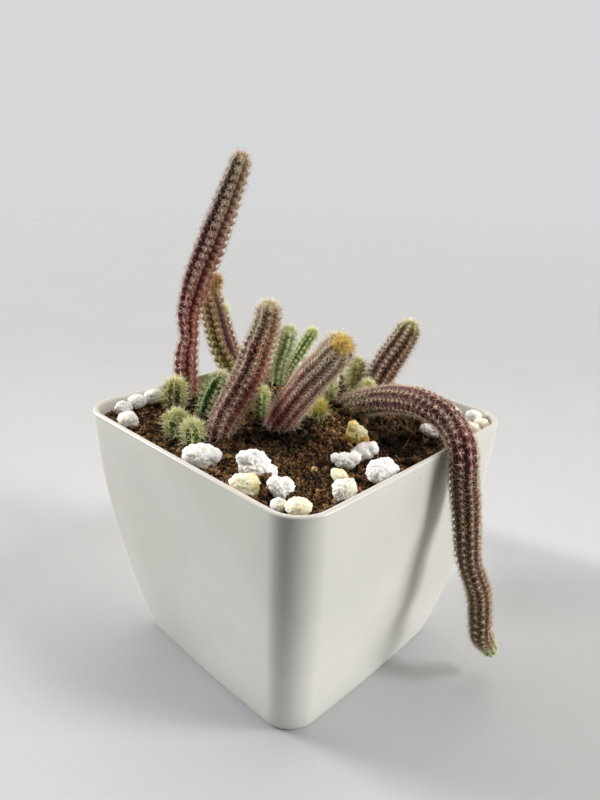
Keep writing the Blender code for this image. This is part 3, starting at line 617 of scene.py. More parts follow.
class Finish(Nodes):
    """A material under construction round its Principled shader."""

    def __init__(self, name, uniform):
        self.material = bpy.data.materials.new(name)
        self.material.use_nodes = True
        super().__init__(self.material.node_tree)
        self.shader = self.tree.nodes["Principled BSDF"]
        for socket, value in uniform.items():
            self.shader.inputs[socket].default_value = value

    def attribute(self, name):
        return Signal(self, self.node("ShaderNodeAttribute", {"attribute_name": name}).outputs["Fac"])

    def place(self):
        return self.node("ShaderNodeTexCoord").outputs["Object"]

    def along(self, direction):
        return self.dot(self.place(), direction)

    def noise(self, length, detail=2.0, roughness=0.5):
        """Smooth noise whose features are about the given length across."""
        values = {"Vector": self.place(), "Scale": 1.0 / length, "Detail": detail, "Roughness": roughness}
        return Signal(self, self.node("ShaderNodeTexNoise", None, values).outputs[0])

    def cells(self, length):
        """Distance to the nearest of many scattered points, about the given length apart."""
        values = {"Vector": self.place(), "Scale": 1.0 / length}
        return Signal(self, self.node("ShaderNodeTexVoronoi", None, values).outputs["Distance"])

    def ramp(self, signal, stops):
        return self.node("ShaderNodeValToRGB", {"stops": stops}, {0: signal}).outputs["Color"]

    def blend(self, share, first, second, mode="MIX"):
        """A colour between two colours, or their product and the like in another mode."""
        first = opaque(first) if isinstance(first, tuple) else first
        second = opaque(second) if isinstance(second, tuple) else second
        settings = {"data_type": "RGBA", "blend_type": mode}
        return self.node("ShaderNodeMix", settings, {0: share, 6: first, 7: second}).outputs[2]

    def shade(self, colour, signal):
        """Darkens or lightens a colour by a number."""
        grey = self.node("ShaderNodeCombineXYZ", None, {0: signal, 1: signal, 2: signal}).outputs[0]
        return self.blend(1.0, colour, grey, "MULTIPLY")

    def paint(self, **sockets):
        """Feeds the shader's sockets, by their names in small letters."""
        for name, value in sockets.items():
            self.feed(self.shader.inputs[name.replace("_", " ").title()], value)

    def emboss(self, height, depth, strength=1.0):
        """Raises the surface by a height signal, to the given depth."""
        values = {"Height": height, "Distance": depth, "Strength": strength}
        self.feed(self.shader.inputs["Normal"], self.node("ShaderNodeBump", None, values).outputs[0])


def pot_finish(colour):
    """Ivory plastic, a little stained, with a few specks and painted shade along the top of the rim."""
    finish = Finish("ivory_plastic", {"IOR": 1.49})
    stain = finish.noise(0.045, 3.0)
    tint = finish.blend(stain.above(0.35, 0.75), tuple(colour), linear("e6e3dc"))
    # Painted shade: the top of the rim is blended towards a darker grey.
    rim = finish.along((0.0, 0.0, 1.0)).above(POT_HEIGHT - RIM_SHADE_START, POT_HEIGHT - RIM_SHADE_END)
    tint = finish.blend(rim * 0.6, tint, linear("cfccc4"))
    specks = (1.0 - finish.cells(0.009).above(0.025, 0.040)) * finish.noise(0.02, 1.0).above(0.50, 0.60)
    finish.paint(base_color=finish.blend(specks * 0.55, tint, linear("8a8378")))
    finish.paint(roughness=stain * 0.10 + 0.25)
    finish.emboss(finish.noise(0.035, 0.0), 0.0004, 0.4)
    return finish.material


def soil_finish(colour):
    """Crumbly potting mix: fine grains from nearly black to tan, painted shade in the gaps between them, and
    darker in given spots, the first of them a painted shadow.
    """
    finish = Finish("potting_mix", {"Specular IOR Level": 0.2})
    grains = finish.noise(0.0008, 4.0, 0.75)
    stops = (
        (0.40, tuple(colour)), (0.47, linear("523a24")), (0.53, linear("946e44")), (0.62, linear("d8ac74")),
    )
    patches = finish.noise(0.007, 3.0, 0.6)
    # The ramp from nearly black to tan is partly the grains' own tones and partly painted shade between the
    # grains and painted light on their tops.
    grit = finish.ramp(grains + (patches - 0.5) * 0.30, stops)
    # Painted shade: the soil is darker where it lies low between clods, crumbs and grains.
    lift = (finish.attribute("lift") + (grains - 0.5) * 0.5).above(0.20, 0.85)
    # Darker in the dark spots; the one in the hollow under the arching stem is painted shadow.
    spot_brightness = 1.0 - finish.attribute("damp") * 0.88
    finish.paint(base_color=finish.shade(grit, (lift * 1.15 + 0.03) * spot_brightness))
    finish.paint(roughness=grains * 0.15 + 0.82)
    finish.emboss(grains + finish.noise(0.0003, 2.0, 0.7) * 0.5, 0.0009, 1.0)
    return finish.material


def crumb_finish():
    """Loose crumbs, each of one tone from nearly black to pale tan, with painted shade and painted light by
    their grain, and darker in the soil's dark spots.
    """
    finish = Finish("soil_crumbs", {"Specular IOR Level": 0.25})
    tone = finish.attribute("tone")
    stops = (
        (0.0, linear("140c07")), (0.30, linear("422c1a")), (0.60, linear("84603c")),
        (0.85, linear("c09462")), (1.0, linear("e4c090")),
    )
    grains = finish.noise(0.0006, 3.0, 0.7).above(0.35, 0.65)
    # Darker in the dark spots; the one in the hollow under the arching stem is painted shadow.
    spot_brightness = 1.0 - finish.attribute("damp") * 0.86
    # Painted shade and light: each crumb is darker in the dips of its grain and paler on its bumps.
    finish.paint(base_color=finish.shade(finish.ramp(tone, stops), (grains * 1.05 + 0.24) * spot_brightness))
    finish.paint(roughness=grains * 0.15 + 0.82)
    finish.emboss(grains, 0.0003)
    return finish.material


def bark_finish():
    """Bark, roots and dry bristles, each of one tone of brown."""
    finish = Finish("bark_and_fibres", {"Specular IOR Level": 0.3})
    tone = finish.attribute("tone")
    stops = (
        (0.0, linear("3a2418")), (0.5, linear("6a4630")), (0.8, linear("8a6644")), (1.0, linear("a98c64")),
    )
    grain = finish.noise(0.0006, 3.0, 0.7)
    finish.paint(base_color=finish.shade(finish.ramp(tone, stops), grain + 0.5))
    finish.paint(roughness=grain * 0.2 + 0.65)
    finish.emboss(grain, 0.0002)
    return finish.material


def stone_finish(name, colour, stained):
    """Porous pumice: pale, dusty in places, yellow to rusty by its rust mark, and a little painted shade in
    its pits.
    """
    glow = {"Subsurface Weight": 0.6, "Subsurface Radius": (0.004, 0.0037, 0.0033)}
    finish = Finish(name, {"Specular IOR Level": 0.3, **glow})
    pores = finish.cells(0.0008).above(0.08, 0.40)
    dirt = finish.noise(0.0035, 4.0, 0.7)
    rust = finish.attribute("rust")
    clean = finish.blend(rust.above(0.0, 0.5), tuple(colour), linear(stained))
    dusty = finish.blend(dirt.above(0.62, 0.86) * 0.25, clean, linear("cfc0a4"))
    yellow = finish.noise(0.0040)
    amber = finish.blend(finish.noise(0.0022, 3.0).above(0.42, 0.66), linear("fff2a8"), linear("f4bc4c"))
    rusty = finish.blend((yellow + rust * 0.40).above(0.64, 0.84), dusty, amber)
    # Painted shade: the pits, which the bump lowers, are a little darker.
    finish.paint(base_color=finish.shade(rusty, pores * 0.06 + 0.94))
    finish.paint(roughness=dirt * 0.1 + 0.82)
    finish.emboss(pores * 0.4 + finish.noise(0.0006, 3.0, 0.7) * 0.8, 0.0003, 0.9)
    return finish.material


def flesh_finish(name, sides):
    """Skin of a stem: coloured from foot to tip on two sides, with painted shade in the creases, pale by the
    areoles.
    """
    finish = Finish(name + "_skin", {"Specular IOR Level": 0.35})
    along = finish.attribute("along")
    ramps = [finish.ramp(along, [(share, linear(code)) for share, code in stops]) for stops in sides]
    mottle = finish.noise(0.003, 3.0, 0.6)
    side = (finish.attribute("side") + (mottle - 0.5) * 0.6).above(0.25, 0.75)
    skin = finish.blend(side, ramps[0], ramps[1])
    pale = finish.blend(finish.attribute("areole") * 0.2, skin, linear("b88c68"))
    # Painted shade: the skin darkens from the knobs' crests into the creases between them, varied by the
    # mottle.
    knob = finish.attribute("crest").above(0.0, 0.6)
    finish.paint(base_color=finish.shade(pale, knob * (mottle * 0.7 + 0.55) + 0.07))
    finish.paint(roughness=mottle * 0.2 + 0.45)
    finish.emboss(finish.noise(0.0004, 3.0, 0.6), 0.00015, 0.8)
    return finish.material


def bristle_finish(looks):
    """Bristles from pale yellow to orange, darker or paler one by one, with pale wool at their feet."""
    finish = Finish("bristles_and_wool", {"Specular IOR Level": 0.4, "Roughness": 0.5})
    tone = finish.attribute("tone")
    stops = []
    for hue, number in HUE_NUMBERS.items():
        stops.append((0.5 + 0.5 * number / HUE_REACH, tuple(getattr(looks, "bristle_" + hue))))
    hair = finish.ramp(finish.attribute("hue") * (0.5 / HUE_REACH) + 0.5, stops)
    shaded = finish.shade(hair, tone * 0.45 + 0.75)
    finish.paint(base_color=finish.blend(finish.attribute("wool"), shaded, linear("f4e4c8")))
    finish.paint(roughness=tone * 0.2 + 0.4)
    return finish.material


def floor_finish(colour):
    """Pale cloth with a faint weave and creases, painted shade behind the pot and in one soft patch to its
    right, that fades out at its edges.
    """
    finish = Finish("floor_cloth", {"Specular IOR Level": 0.1, "Roughness": 0.9})
    weave = finish.noise(0.0012)
    creases = finish.noise(0.05, 3.0)
    ahead = finish.along(SCREEN_NEAR)
    aside = finish.along(SCREEN_RIGHT)
    # Painted shade: a soft dark patch on the floor to the right of the pot.
    shade_patch = 1.0 - (aside * SHADE_PATCH_SLOPE - SHADE_PATCH_PLACE - ahead).above(*SHADE_PATCH_WIDTH)
    shade_patch = shade_patch * aside.above(*SHADE_PATCH_START) * (ahead * -1.0).above(*SHADE_PATCH_DEPTH)
    # Painted shade: the floor is darker far behind the pot than near it and towards the camera.
    light = weave * 0.06 + creases * 0.06 + FLOOR_TONE + ahead.above(*FLOOR_BEHIND) * FLOOR_LIFT
    finish.paint(base_color=finish.shade(opaque(colour), light - shade_patch * SHADE_PATCH_DARKNESS))
    length = finish.node("ShaderNodeVectorMath", {"operation": "LENGTH"}, {0: finish.place()})
    fade = 1.0 - Signal(finish, length.outputs["Value"]).above(*FLOOR_FADE)
    finish.paint(alpha=fade * (1.0 - ahead.above(*FLOOR_EDGE)))
    return finish.material


# Shapes.


def pot_share(z):
    """How far the wall has come in at height z, from 0 at the rim to 1 at the base."""
    drop = 1.0 - max(0.0, min(1.0, z / POT_HEIGHT))
    return WALL_STRAIGHT_SHARE * drop + (1.0 - WALL_STRAIGHT_SHARE) * drop ** WALL_CURVE_POWER


def pot_half_width(z):
    return POT_TOP_HALF + (POT_BASE_HALF - POT_TOP_HALF) * pot_share(z)


def pot_section(z, inset):
    """Half width of the pot's outline at height z, the radius of its corners and half the straight part."""
    half = pot_half_width(z) - inset
    radius = POT_CORNER_TOP + (POT_CORNER_BASE - POT_CORNER_TOP) * pot_share(z) - inset
    return half, radius, half - radius


def pot_ring(z, inset):
    """Points round the pot at height z: rounded corners and slightly bowed sides."""
    half, radius, straight = pot_section(z, inset)
    bow = POT_BOW_TOP + (POT_BOW_BASE - POT_BOW_TOP) * pot_share(z)
    points = []
    for corner in range(4):
        turn = Matrix.Rotation(corner * math.pi / 2, 3, "Z")
        for step in range(CORNER_STEPS + 1):
            angle = step / CORNER_STEPS * math.pi / 2
            local = Vector((straight + radius * math.cos(angle), straight + radius * math.sin(angle), z))
            points.append(turn @ local)
        for step in range(1, SIDE_STEPS):
            along = 1.0 - 2.0 * step / SIDE_STEPS
            points.append(turn @ Vector((straight * along, half + bow * (1.0 - along * along), z)))
    return points


def pot_outline_reach(x, y, z, inset):
    """How far the pot's outline, inset from the wall, lies from the middle in the direction of x and y."""
    half, radius, straight = pot_section(z, inset)
    large = max(abs(x), abs(y))
    small = min(abs(x), abs(y))
    length = math.hypot(x, y)
    if length == 0.0:
        return half
    if small / large * half <= straight:
        return half * length / large
    along = straight * (large + small) / length
    across = straight * (large - small) / length
    return along + math.sqrt(max(0.0, radius * radius - across * across))


def new_mesh(name, bm):
    """Turns a bmesh into a mesh and frees it."""
    mesh = bpy.data.meshes.new(name)
    bm.to_mesh(mesh)
    bm.free()
    return mesh


def add_marks(mesh, marks):
    """Gives the mesh's points one number each under every name."""
    for name, values in marks.items():
        mesh.attributes.new(name, "FLOAT", "POINT").data.foreach_set("value", values.ravel())


def wrap_grid(rings, marks):
    """A closed tube: a flat grid whose rows are bent round to the given rings of points."""
    rows, around = rings.shape[:2]
    bm = bmesh.new()
    bmesh.ops.create_grid(bm, x_segments=around, y_segments=rows - 1, size=1.0)
    mesh = new_mesh("tube", bm)
    flat = np.empty(len(mesh.vertices) * 3)
    mesh.vertices.foreach_get("co", flat)
    flat = flat.reshape(-1, 3)
    columns = np.rint((flat[:, 0] + 1.0) * 0.5 * around).astype(int)
    levels = np.rint((flat[:, 1] + 1.0) * 0.5 * (rows - 1)).astype(int)
    mesh.vertices.foreach_set("co", rings[levels, columns % around].ravel())
    add_marks(mesh, {name: values[levels, columns % around] for name, values in marks.items()})
    bm = bmesh.new()
    bm.from_mesh(mesh)
    bm.verts.ensure_lookup_table()
    seam = [bm.verts[int(index)] for index in np.nonzero((columns == 0) | (columns == around))[0]]
    bmesh.ops.remove_doubles(bm, verts=seam, dist=1e-7)
    bmesh.ops.holes_fill(bm, edges=[edge for edge in bm.edges if edge.is_boundary], sides=0)
    bmesh.ops.recalc_face_normals(bm, faces=bm.faces[:])
    bm.to_mesh(mesh)
    bm.free()
    return mesh


def copy_out(template, count):
    """A bmesh with the template repeated count times, block after block."""
    bm = template.copy()
    sizes = (len(template.verts), len(template.edges), len(template.faces))
    made = 1
    while made < count:
        more = min(made, count - made)
        geometry = []
        for items, size in zip((bm.verts, bm.edges, bm.faces), sizes):
            geometry += items[:][:size * more]
        bmesh.ops.duplicate(bm, geom=geometry)
        made += more
    return bm


def scatter(template, turns, places, marks, bends=None):
    """A mesh with a turned and placed copy of the template for each matrix, and marks by copy or by point."""
    mesh = new_mesh("copies", copy_out(template, len(places)))
    shape = np.array([vertex.co[:] for vertex in template.verts])
    template.free()
    points = np.einsum("nij,vj->nvi", turns, shape) + places[:, None, :]
    if bends is not None:
        sway = shape[:, 2] * (1.0 - shape[:, 2])
        points += bends[:, None, :] * sway[None, :, None]
    mesh.vertices.foreach_set("co", points.ravel())
    for name, values in marks.items():
        if len(values) == len(places):
            marks[name] = np.repeat(values, len(shape))
    add_marks(mesh, marks)
    mesh.update()
    return mesh


def unit(vectors):
    return vectors / np.linalg.norm(vectors, axis=-1, keepdims=True)


def random_turns(rng, count):
    """Turns in all directions, as matrices."""
    first = unit(rng.normal(size=(count, 3)))
    second = unit(np.cross(first, rng.normal(size=(count, 3))))
    return np.stack([first, second, np.cross(first, second)], axis=2)


def add_piece(name, mesh, material, nodes=()):
    """Links a mesh as a smooth piece of the object, riding on its body, in the place of CAD nodes."""
    mesh.name = name
    mesh.materials.clear()
    mesh.materials.append(material)
    mesh.shade_smooth()
    piece = bpy.data.objects.new(name, mesh)
    bpy.context.scene.collection.objects.link(piece)
    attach(piece, "root")
    if nodes:
        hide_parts(*nodes)
    return piece


def join_meshes(first, second):
    """Both meshes in one, with the marks that they share."""
    bm = bmesh.new()
    bm.from_mesh(first)
    bm.from_mesh(second)
    bm.to_mesh(first)
    bm.free()
    bpy.data.meshes.remove(second)
    return first


# The pot.


def edge_arc(z, inset, rise, run):
    """Steps of a rounded edge, as (height, inset), from one face round to the next."""
    steps = []
    for angle in EDGE_ANGLES:
        turn = math.radians(angle)
        steps.append((z + rise * math.sin(turn), inset + run * (1.0 - math.cos(turn))))
    return steps


def pot_profile():
    """Heights and insets of the pot's rings, from under the foot, over the lip and down inside."""
    lip = 0.5 * POT_WALL
    floor = POT_FLOOR + POT_EDGE
    foot = edge_arc(POT_EDGE, 0.0, -POT_EDGE, POT_EDGE)
    rise = POT_HEIGHT - POT_EDGE - lip
    levels = [POT_EDGE + rise * step / WALL_LEVELS for step in range(WALL_LEVELS + 1)]
    outside = [(level, 0.0) for level in levels]
    over = edge_arc(POT_HEIGHT - lip, 0.0, lip, lip)
    back = [(height, POT_WALL - inset) for height, inset in reversed(over)]
    inside = [(level, POT_WALL) for level in reversed(levels) if level > floor]
    bottom = [(floor + height, POT_WALL + inset) for height, inset in edge_arc(0.0, 0.0, -POT_EDGE, POT_EDGE)]
    first = [(0.0, 3.0 * POT_EDGE), (0.0, POT_EDGE)]
    last = [(POT_FLOOR, POT_WALL + POT_EDGE), (POT_FLOOR, POT_WALL + 3.0 * POT_EDGE)]
    return first + foot[::-1] + outside + over + [(POT_HEIGHT, lip)] + back + inside + bottom + last


def cut_drains(pot):
    """Cuts the four drain holes out of the pot's floor."""
    for corner in range(4):
        bm = bmesh.new()
        bmesh.ops.create_cone(
            bm, cap_ends=True, segments=DRAIN_SIDES, radius1=DRAIN_RADIUS, radius2=DRAIN_RADIUS,
            depth=4.0 * POT_FLOOR,
        )
        angle = math.radians(45 + 90 * corner)
        aside = Vector((math.cos(angle), math.sin(angle), 0)) * DRAIN_OFFSET
        bmesh.ops.translate(bm, verts=bm.verts[:], vec=aside)
        cutter = bpy.data.objects.new("drain", new_mesh("drain", bm))
        bpy.context.scene.collection.objects.link(cutter)
        modifier = pot.modifiers.new("drain", "BOOLEAN")
        modifier.object = cutter
        modifier.operation = "DIFFERENCE"
        modifier.solver = "EXACT"
        bpy.context.view_layer.update()
        result = bpy.data.meshes.new_from_object(pot.evaluated_get(bpy.context.evaluated_depsgraph_get()))
        pot.modifiers.clear()
        pot.data = result
        bpy.data.objects.remove(cutter, do_unlink=True)


# The soil.


def soil_height(x, y):
    """Height of the soil's surface: a mound, a hollow under the arching stem, and lumps."""
    mound = (Vector((x, y)) - Vector(SOIL_MOUND_CENTRE)).length / SOIL_MOUND_SPREAD
    hollow = (Vector((x, y)) - Vector(SOIL_HOLLOW_CENTRE)).length / SOIL_HOLLOW_SPREAD
    height = SOIL_EDGE + SOIL_MOUND_HEIGHT * math.exp(-0.5 * mound * mound)
    height -= SOIL_HOLLOW_DEPTH * math.exp(-0.5 * hollow * hollow)
    return height + SOIL_LUMP_HEIGHT * noise.noise(Vector((x, y, 0)) / SOIL_LUMP_LENGTH)


def lumps(place, length):
    """Rounded lumps of about the given length with narrow gaps between them, from 0 in the gaps to 1."""
    near = noise.voronoi(place / length)[0]
    return math.sqrt(min(1.0, LUMP_STEEPNESS * (near[1] - near[0])))


def soil_lift(x, y):
    """How far the clods, crumbs and grains stand out of the gaps between them."""
    place = Vector((x, y, 0.0))
    drift, drift_length = CLOD_WANDER
    usual, change, patch_length = CLOD_PATCHES
    wander = place + drift * noise.noise_vector(place / drift_length)
    patch = usual + change * noise.noise(place / patch_length)
    height = CLOD_HEIGHT * (lumps(wander, CLOD_LENGTH) - LUMP_LEVEL) * max(0.0, patch)
    height += CRUMB_HEIGHT * (lumps(wander, CRUMB_LENGTH) - LUMP_LEVEL)
    return height + GRAIN_HEIGHT * noise.noise(place / GRAIN_LENGTH)


def spot_darkness(x, y):
    """How much the dark spots darken the soil at a place, from 0 to 1; the spot in the hollow is painted
    shadow.
    """
    damp = 0.0
    for spot_x, spot_y, radius in DARK_SPOTS:
        away = math.hypot(x - spot_x, y - spot_y) / radius
        damp = max(damp, math.exp(-away ** 4))
    return damp


def rough_soil_height(x, y):
    return soil_height(x, y) + soil_lift(x, y)


def shape_soil_top(bm, inset):
    """Fits a flat square grid to the pot's outline, raises it, and marks how high it is and how much the dark
    spots darken it.
    """
    mark = bm.verts.layers.float.new("lift")
    darkening_layer = bm.verts.layers.float.new("damp")
    for vertex in bm.verts:
        x, y = vertex.co.x, vertex.co.y
        length = math.hypot(x, y)
        if length > 0.0:
            reach = pot_outline_reach(x, y, SOIL_EDGE, inset) * max(abs(x), abs(y))
            x, y = x / length * reach, y / length * reach
        lift = soil_lift(x, y)
        vertex.co = (x, y, soil_height(x, y) + lift)
        vertex[mark] = LUMP_LEVEL + lift / (CLOD_HEIGHT + CRUMB_HEIGHT)
        vertex[darkening_layer] = spot_darkness(x, y)


def soil_mesh():
    """The top as a fine grid, with the sides drawn down inside the pot's wall and the bottom closed."""
    inset = POT_WALL + SOIL_WALL_GAP
    bm = bmesh.new()
    bmesh.ops.create_grid(bm, x_segments=SOIL_GRID, y_segments=SOIL_GRID, size=1.0)
    shape_soil_top(bm, inset)
    rim = [edge for edge in bm.edges if edge.is_boundary]
    for level in SOIL_LEVELS:
        made = bmesh.ops.extrude_edge_only(bm, edges=rim)["geom"]
        rim = [item for item in made if isinstance(item, bmesh.types.BMEdge) and item.is_boundary]
        for vertex in {vertex for edge in rim for vertex in edge.verts}:
            x, y = vertex.co.x, vertex.co.y
            reach = pot_outline_reach(x, y, level, inset) / math.hypot(x, y)
            vertex.co = (x * reach, y * reach, level)
    bmesh.ops.holes_fill(bm, edges=rim, sides=0)
    bmesh.ops.recalc_face_normals(bm, faces=bm.faces[:])
    return new_mesh("soil", bm)


def soil_spots(rng, count, margin):
    """Random places on the soil, a margin in from the pot's wall."""
    reach = POT_TOP_HALF - POT_WALL - margin
    spots = []
    while len(spots) < count:
        x, y = rng.uniform(-reach, reach, 2)
        if math.hypot(x, y) < pot_outline_reach(x, y, SOIL_EDGE, POT_WALL + margin):
            spots.append((x, y, rough_soil_height(x, y)))
    return np.array(spots)


def pebble_template(seed, detail):
    """A small uneven lump, or with no detail an uneven cube."""
    bm = bmesh.new()
    if detail:
        bmesh.ops.create_icosphere(bm, subdivisions=detail, radius=1.0)
    else:
        bmesh.ops.create_cube(bm, size=LOOSE_CUBE)
    chance = random.Random(seed)
    for vertex in bm.verts:
        vertex.co *= chance.uniform(*LOOSE_ROUGHNESS)
        vertex.co.z *= LOOSE_SQUASH
    return bm


def crumbs_mesh(rng, count, size, spread, detail):
    """Loose crumbs on the soil, each turned its own way."""
    spots = soil_spots(rng, count, LOOSE_MARGIN * size)
    sizes = rng.lognormal(math.log(size), spread, count)
    sizes = np.clip(sizes, LOOSE_SIZES[0] * size, LOOSE_SIZES[1] * size)
    damp = np.array([spot_darkness(x, y) for x, y, _ in spots])
    marks = {"tone": rng.beta(0.8, 1.2, count), "damp": damp}
    spots[:, 2] += sizes * rng.uniform(*LOOSE_RISES, count)
    turns = random_turns(rng, count) * sizes[:, None, None]
    return scatter(pebble_template(3 + detail, detail), turns, spots, marks)


def chip_template():
    """A flat, bevelled splinter of bark, one unit long."""
    bm = bmesh.new()
    bmesh.ops.create_cube(bm, size=1.0)
    bmesh.ops.scale(bm, verts=bm.verts[:], vec=CHIP_FORM)
    chance = random.Random(5)
    for vertex in bm.verts:
        vertex.co.x *= chance.uniform(0.5, 1.1)
        vertex.co.y *= chance.uniform(0.7, 1.1)
    bmesh.ops.bevel(
        bm, geom=bm.edges[:], offset=CHIP_BEVEL, segments=1, profile=0.5, affect="EDGES", material=-1,
    )
    return bm


def lying_turns(rng, count, tilt):
    """Turns about Z with a small random tilt, as matrices."""
    up = unit(np.column_stack([rng.normal(0, tilt, count), rng.normal(0, tilt, count), np.ones(count)]))
    first = unit(np.cross(up, rng.normal(size=(count, 3))))
    return np.stack([first, np.cross(up, first), up], axis=2)


def chips_mesh(rng):
    """Splinters of bark that lie on the soil."""
    spots = soil_spots(rng, CHIP_COUNT, CHIP_MARGIN)
    sizes = np.clip(rng.lognormal(math.log(CHIP_LENGTH), CHIP_SPREAD, CHIP_COUNT), *CHIP_LENGTHS)
    spots[:, 2] += sizes * CHIP_RISE
    turns = lying_turns(rng, CHIP_COUNT, CHIP_TILT) * sizes[:, None, None]
    return scatter(chip_template(), turns, spots, {"tone": rng.beta(2.0, 2.6, CHIP_COUNT)})


def needle_template():
    """A three-sided needle one unit long and one in radius, with a joint half way up."""
    height, width = NEEDLE_JOINT
    bm = bmesh.new()
    bmesh.ops.create_cone(bm, cap_ends=True, segments=3, radius1=1.0, radius2=width, depth=height)
    bmesh.ops.translate(bm, verts=bm.verts[:], vec=(0, 0, 0.5 * height))
    top = max(bm.faces, key=lambda face: face.calc_center_median().z)
    tip = bmesh.ops.poke(bm, faces=[top])["verts"][0]
    tip.co = (0.0, 0.0, 1.0)
    return bm


def needle_mesh(roots, directions, lengths, radii, bends, marks):
    """A needle from each root, in its direction, bent sideways by its bend."""
    helper = np.where(np.abs(directions[:, 2:3]) > 0.9, [[1.0, 0.0, 0.0]], [[0.0, 0.0, 1.0]])
    first = unit(np.cross(directions, helper))
    second = np.cross(directions, first)
    turns = np.stack([first * radii[:, None], second * radii[:, None], directions * lengths[:, None]], axis=2)
    template = needle_template()
    reach = np.tile(np.array([vertex.co.z for vertex in template.verts]), len(roots))
    return scatter(template, turns, roots, {**marks, "reach": reach}, bends)


def fibres_mesh(rng):
    """Thin roots that lie on the soil, tangles of dry bristles at the feet of the stems, and twigs."""
    spots = soil_spots(rng, FIBRE_COUNT, FIBRE_MARGIN)
    spots[:, 2] += FIBRE_RISE
    leans = [rng.normal(0, 0.22, FIBRE_COUNT)]
    lengths = [rng.uniform(*FIBRE_LENGTHS, FIBRE_COUNT)]
    radii = [np.full(FIBRE_COUNT, FIBRE_RADIUS)]
    tones = [rng.uniform(0.35, 1.0, FIBRE_COUNT)]
    for x, y, count in TANGLES:
        heap = rng.normal(0.0, TANGLE_SPREAD, (count, 2))
        heights = [soil_height(x + dx, y + dy) + abs(rng.normal(0.0, TANGLE_HEIGHT)) for dx, dy in heap]
        spots = np.concatenate([spots, np.column_stack([x + heap[:, 0], y + heap[:, 1], heights])])
        leans.append(rng.normal(0.3, 0.5, count))
        lengths.append(rng.uniform(*TANGLE_LENGTHS, count))
        radii.append(np.full(count, TANGLE_RADIUS))
        tones.append(rng.uniform(0.6, 1.3, count))
    angle = rng.uniform(0, 2 * math.pi, len(spots))
    directions = unit(np.column_stack([np.cos(angle), np.sin(angle), np.concatenate(leans)]))
    twigs = np.array(TWIGS) * MM
    along = twigs[:, 3:] - twigs[:, :3]
    spots = np.concatenate([spots, twigs[:, :3]])
    directions = np.concatenate([directions, unit(along)])
    lengths.append(np.linalg.norm(along, axis=1))
    radii.append(np.full(len(twigs), TWIG_RADIUS))
    tones.append(np.full(len(twigs), 0.6))
    bends = rng.normal(0, LITTER_BEND, (len(spots), 3)) * np.array([1.0, 1.0, 0.4])
    marks = {"tone": np.concatenate(tones)}
    return needle_mesh(spots, directions, np.concatenate(lengths), np.concatenate(radii), bends, marks)


# The stems.


def curve_point(before, start, end, after, share):
    """A point of the smooth curve that passes through four points in a row."""
    square = share * share
    cube = square * share
    return 0.5 * (
        2.0 * start
        + (end - before) * share
        + (2.0 * before - 5.0 * start + 4.0 * end - after) * square
        + (3.0 * start - before - 3.0 * end + after) * cube
    )


class Line:
    """A smooth centre line through a route, with a radius and a side direction all along it."""

    def __init__(self, route, buried, ribs, pitch):
        nodes = [Vector(values) * MM for values in route]
        if buried:
            nodes.insert(0, self.foot(nodes, buried))
        self.buried = buried
        self.ribs = ribs
        self.samples = self.sample(nodes)
        self.lengths = [0.0]
        for first, second in zip(self.samples, self.samples[1:]):
            self.lengths.append(self.lengths[-1] + (second - first).to_3d().length)
        self.length = self.lengths[-1]
        self.sides = self.carry_side()
        self.start = max(0.0, buried - SHAFT_RISE)
        self.tip_radius = self.locate(self.length - TIP_LENGTH)[1]
        self.body_end = self.length - self.tip_radius
        self.rows = max(2, round((self.body_end - self.start) / pitch))
        self.pitch = (self.body_end - self.start) / self.rows

    @staticmethod
    def foot(nodes, buried):
        """The buried end, half way between straight down and the stem's first direction."""
        first = (nodes[1] - nodes[0]).to_3d().normalized()
        down = (first + Vector((0, 0, 1))).normalized()
        place = nodes[0].to_3d() - down * buried
        return Vector((place.x, place.y, place.z, nodes[0].w))

    @staticmethod
    def sample(nodes):
        padded = [2.0 * nodes[0] - nodes[1]] + nodes + [2.0 * nodes[-1] - nodes[-2]]
        points = []
        for index in range(1, len(padded) - 2):
            before, start, end, after = padded[index - 1:index + 3]
            for step in range(CURVE_STEPS):
                points.append(curve_point(before, start, end, after, step / CURVE_STEPS))
        points.append(nodes[-1])
        return points

    def carry_side(self):
        """A direction across the line at each sample, carried along it without twisting."""
        side = Vector((0, 1, 0))
        sides = []
        for index in range(len(self.samples)):
            tangent = self.tangent_at(index)
            side = (side - tangent * side.dot(tangent)).normalized()
            sides.append(side)
        return sides

    def tangent_at(self, index):
        low = max(0, index - 1)
        high = min(len(self.samples) - 1, index + 1)
        return (self.samples[high] - self.samples[low]).to_3d().normalized()

    def locate(self, distance):
        """Place, radius, tangent and side at a distance along the line."""
        distance = max(0.0, min(self.length, distance))
        index = 0
        while index < len(self.lengths) - 2 and self.lengths[index + 1] < distance:
            index += 1
        span = self.lengths[index + 1] - self.lengths[index]
        share = (distance - self.lengths[index]) / span
        value = self.samples[index].lerp(self.samples[index + 1], share)
        tangent = self.tangent_at(index).lerp(self.tangent_at(index + 1), share).normalized()
        side = self.sides[index].lerp(self.sides[index + 1], share)
        side = (side - tangent * side.dot(tangent)).normalized()
        return value.to_3d(), value.w, tangent, side

    def turn(self, distance):
        return TWIST_PER_METRE * (distance - self.start) * 2.0 * math.pi / self.ribs

    def stagger(self, rib):
        """How far the knobs of a rib are shifted, in knobs, so that the pattern closes all the way round."""
        return rib * (self.ribs // 2) / self.ribs


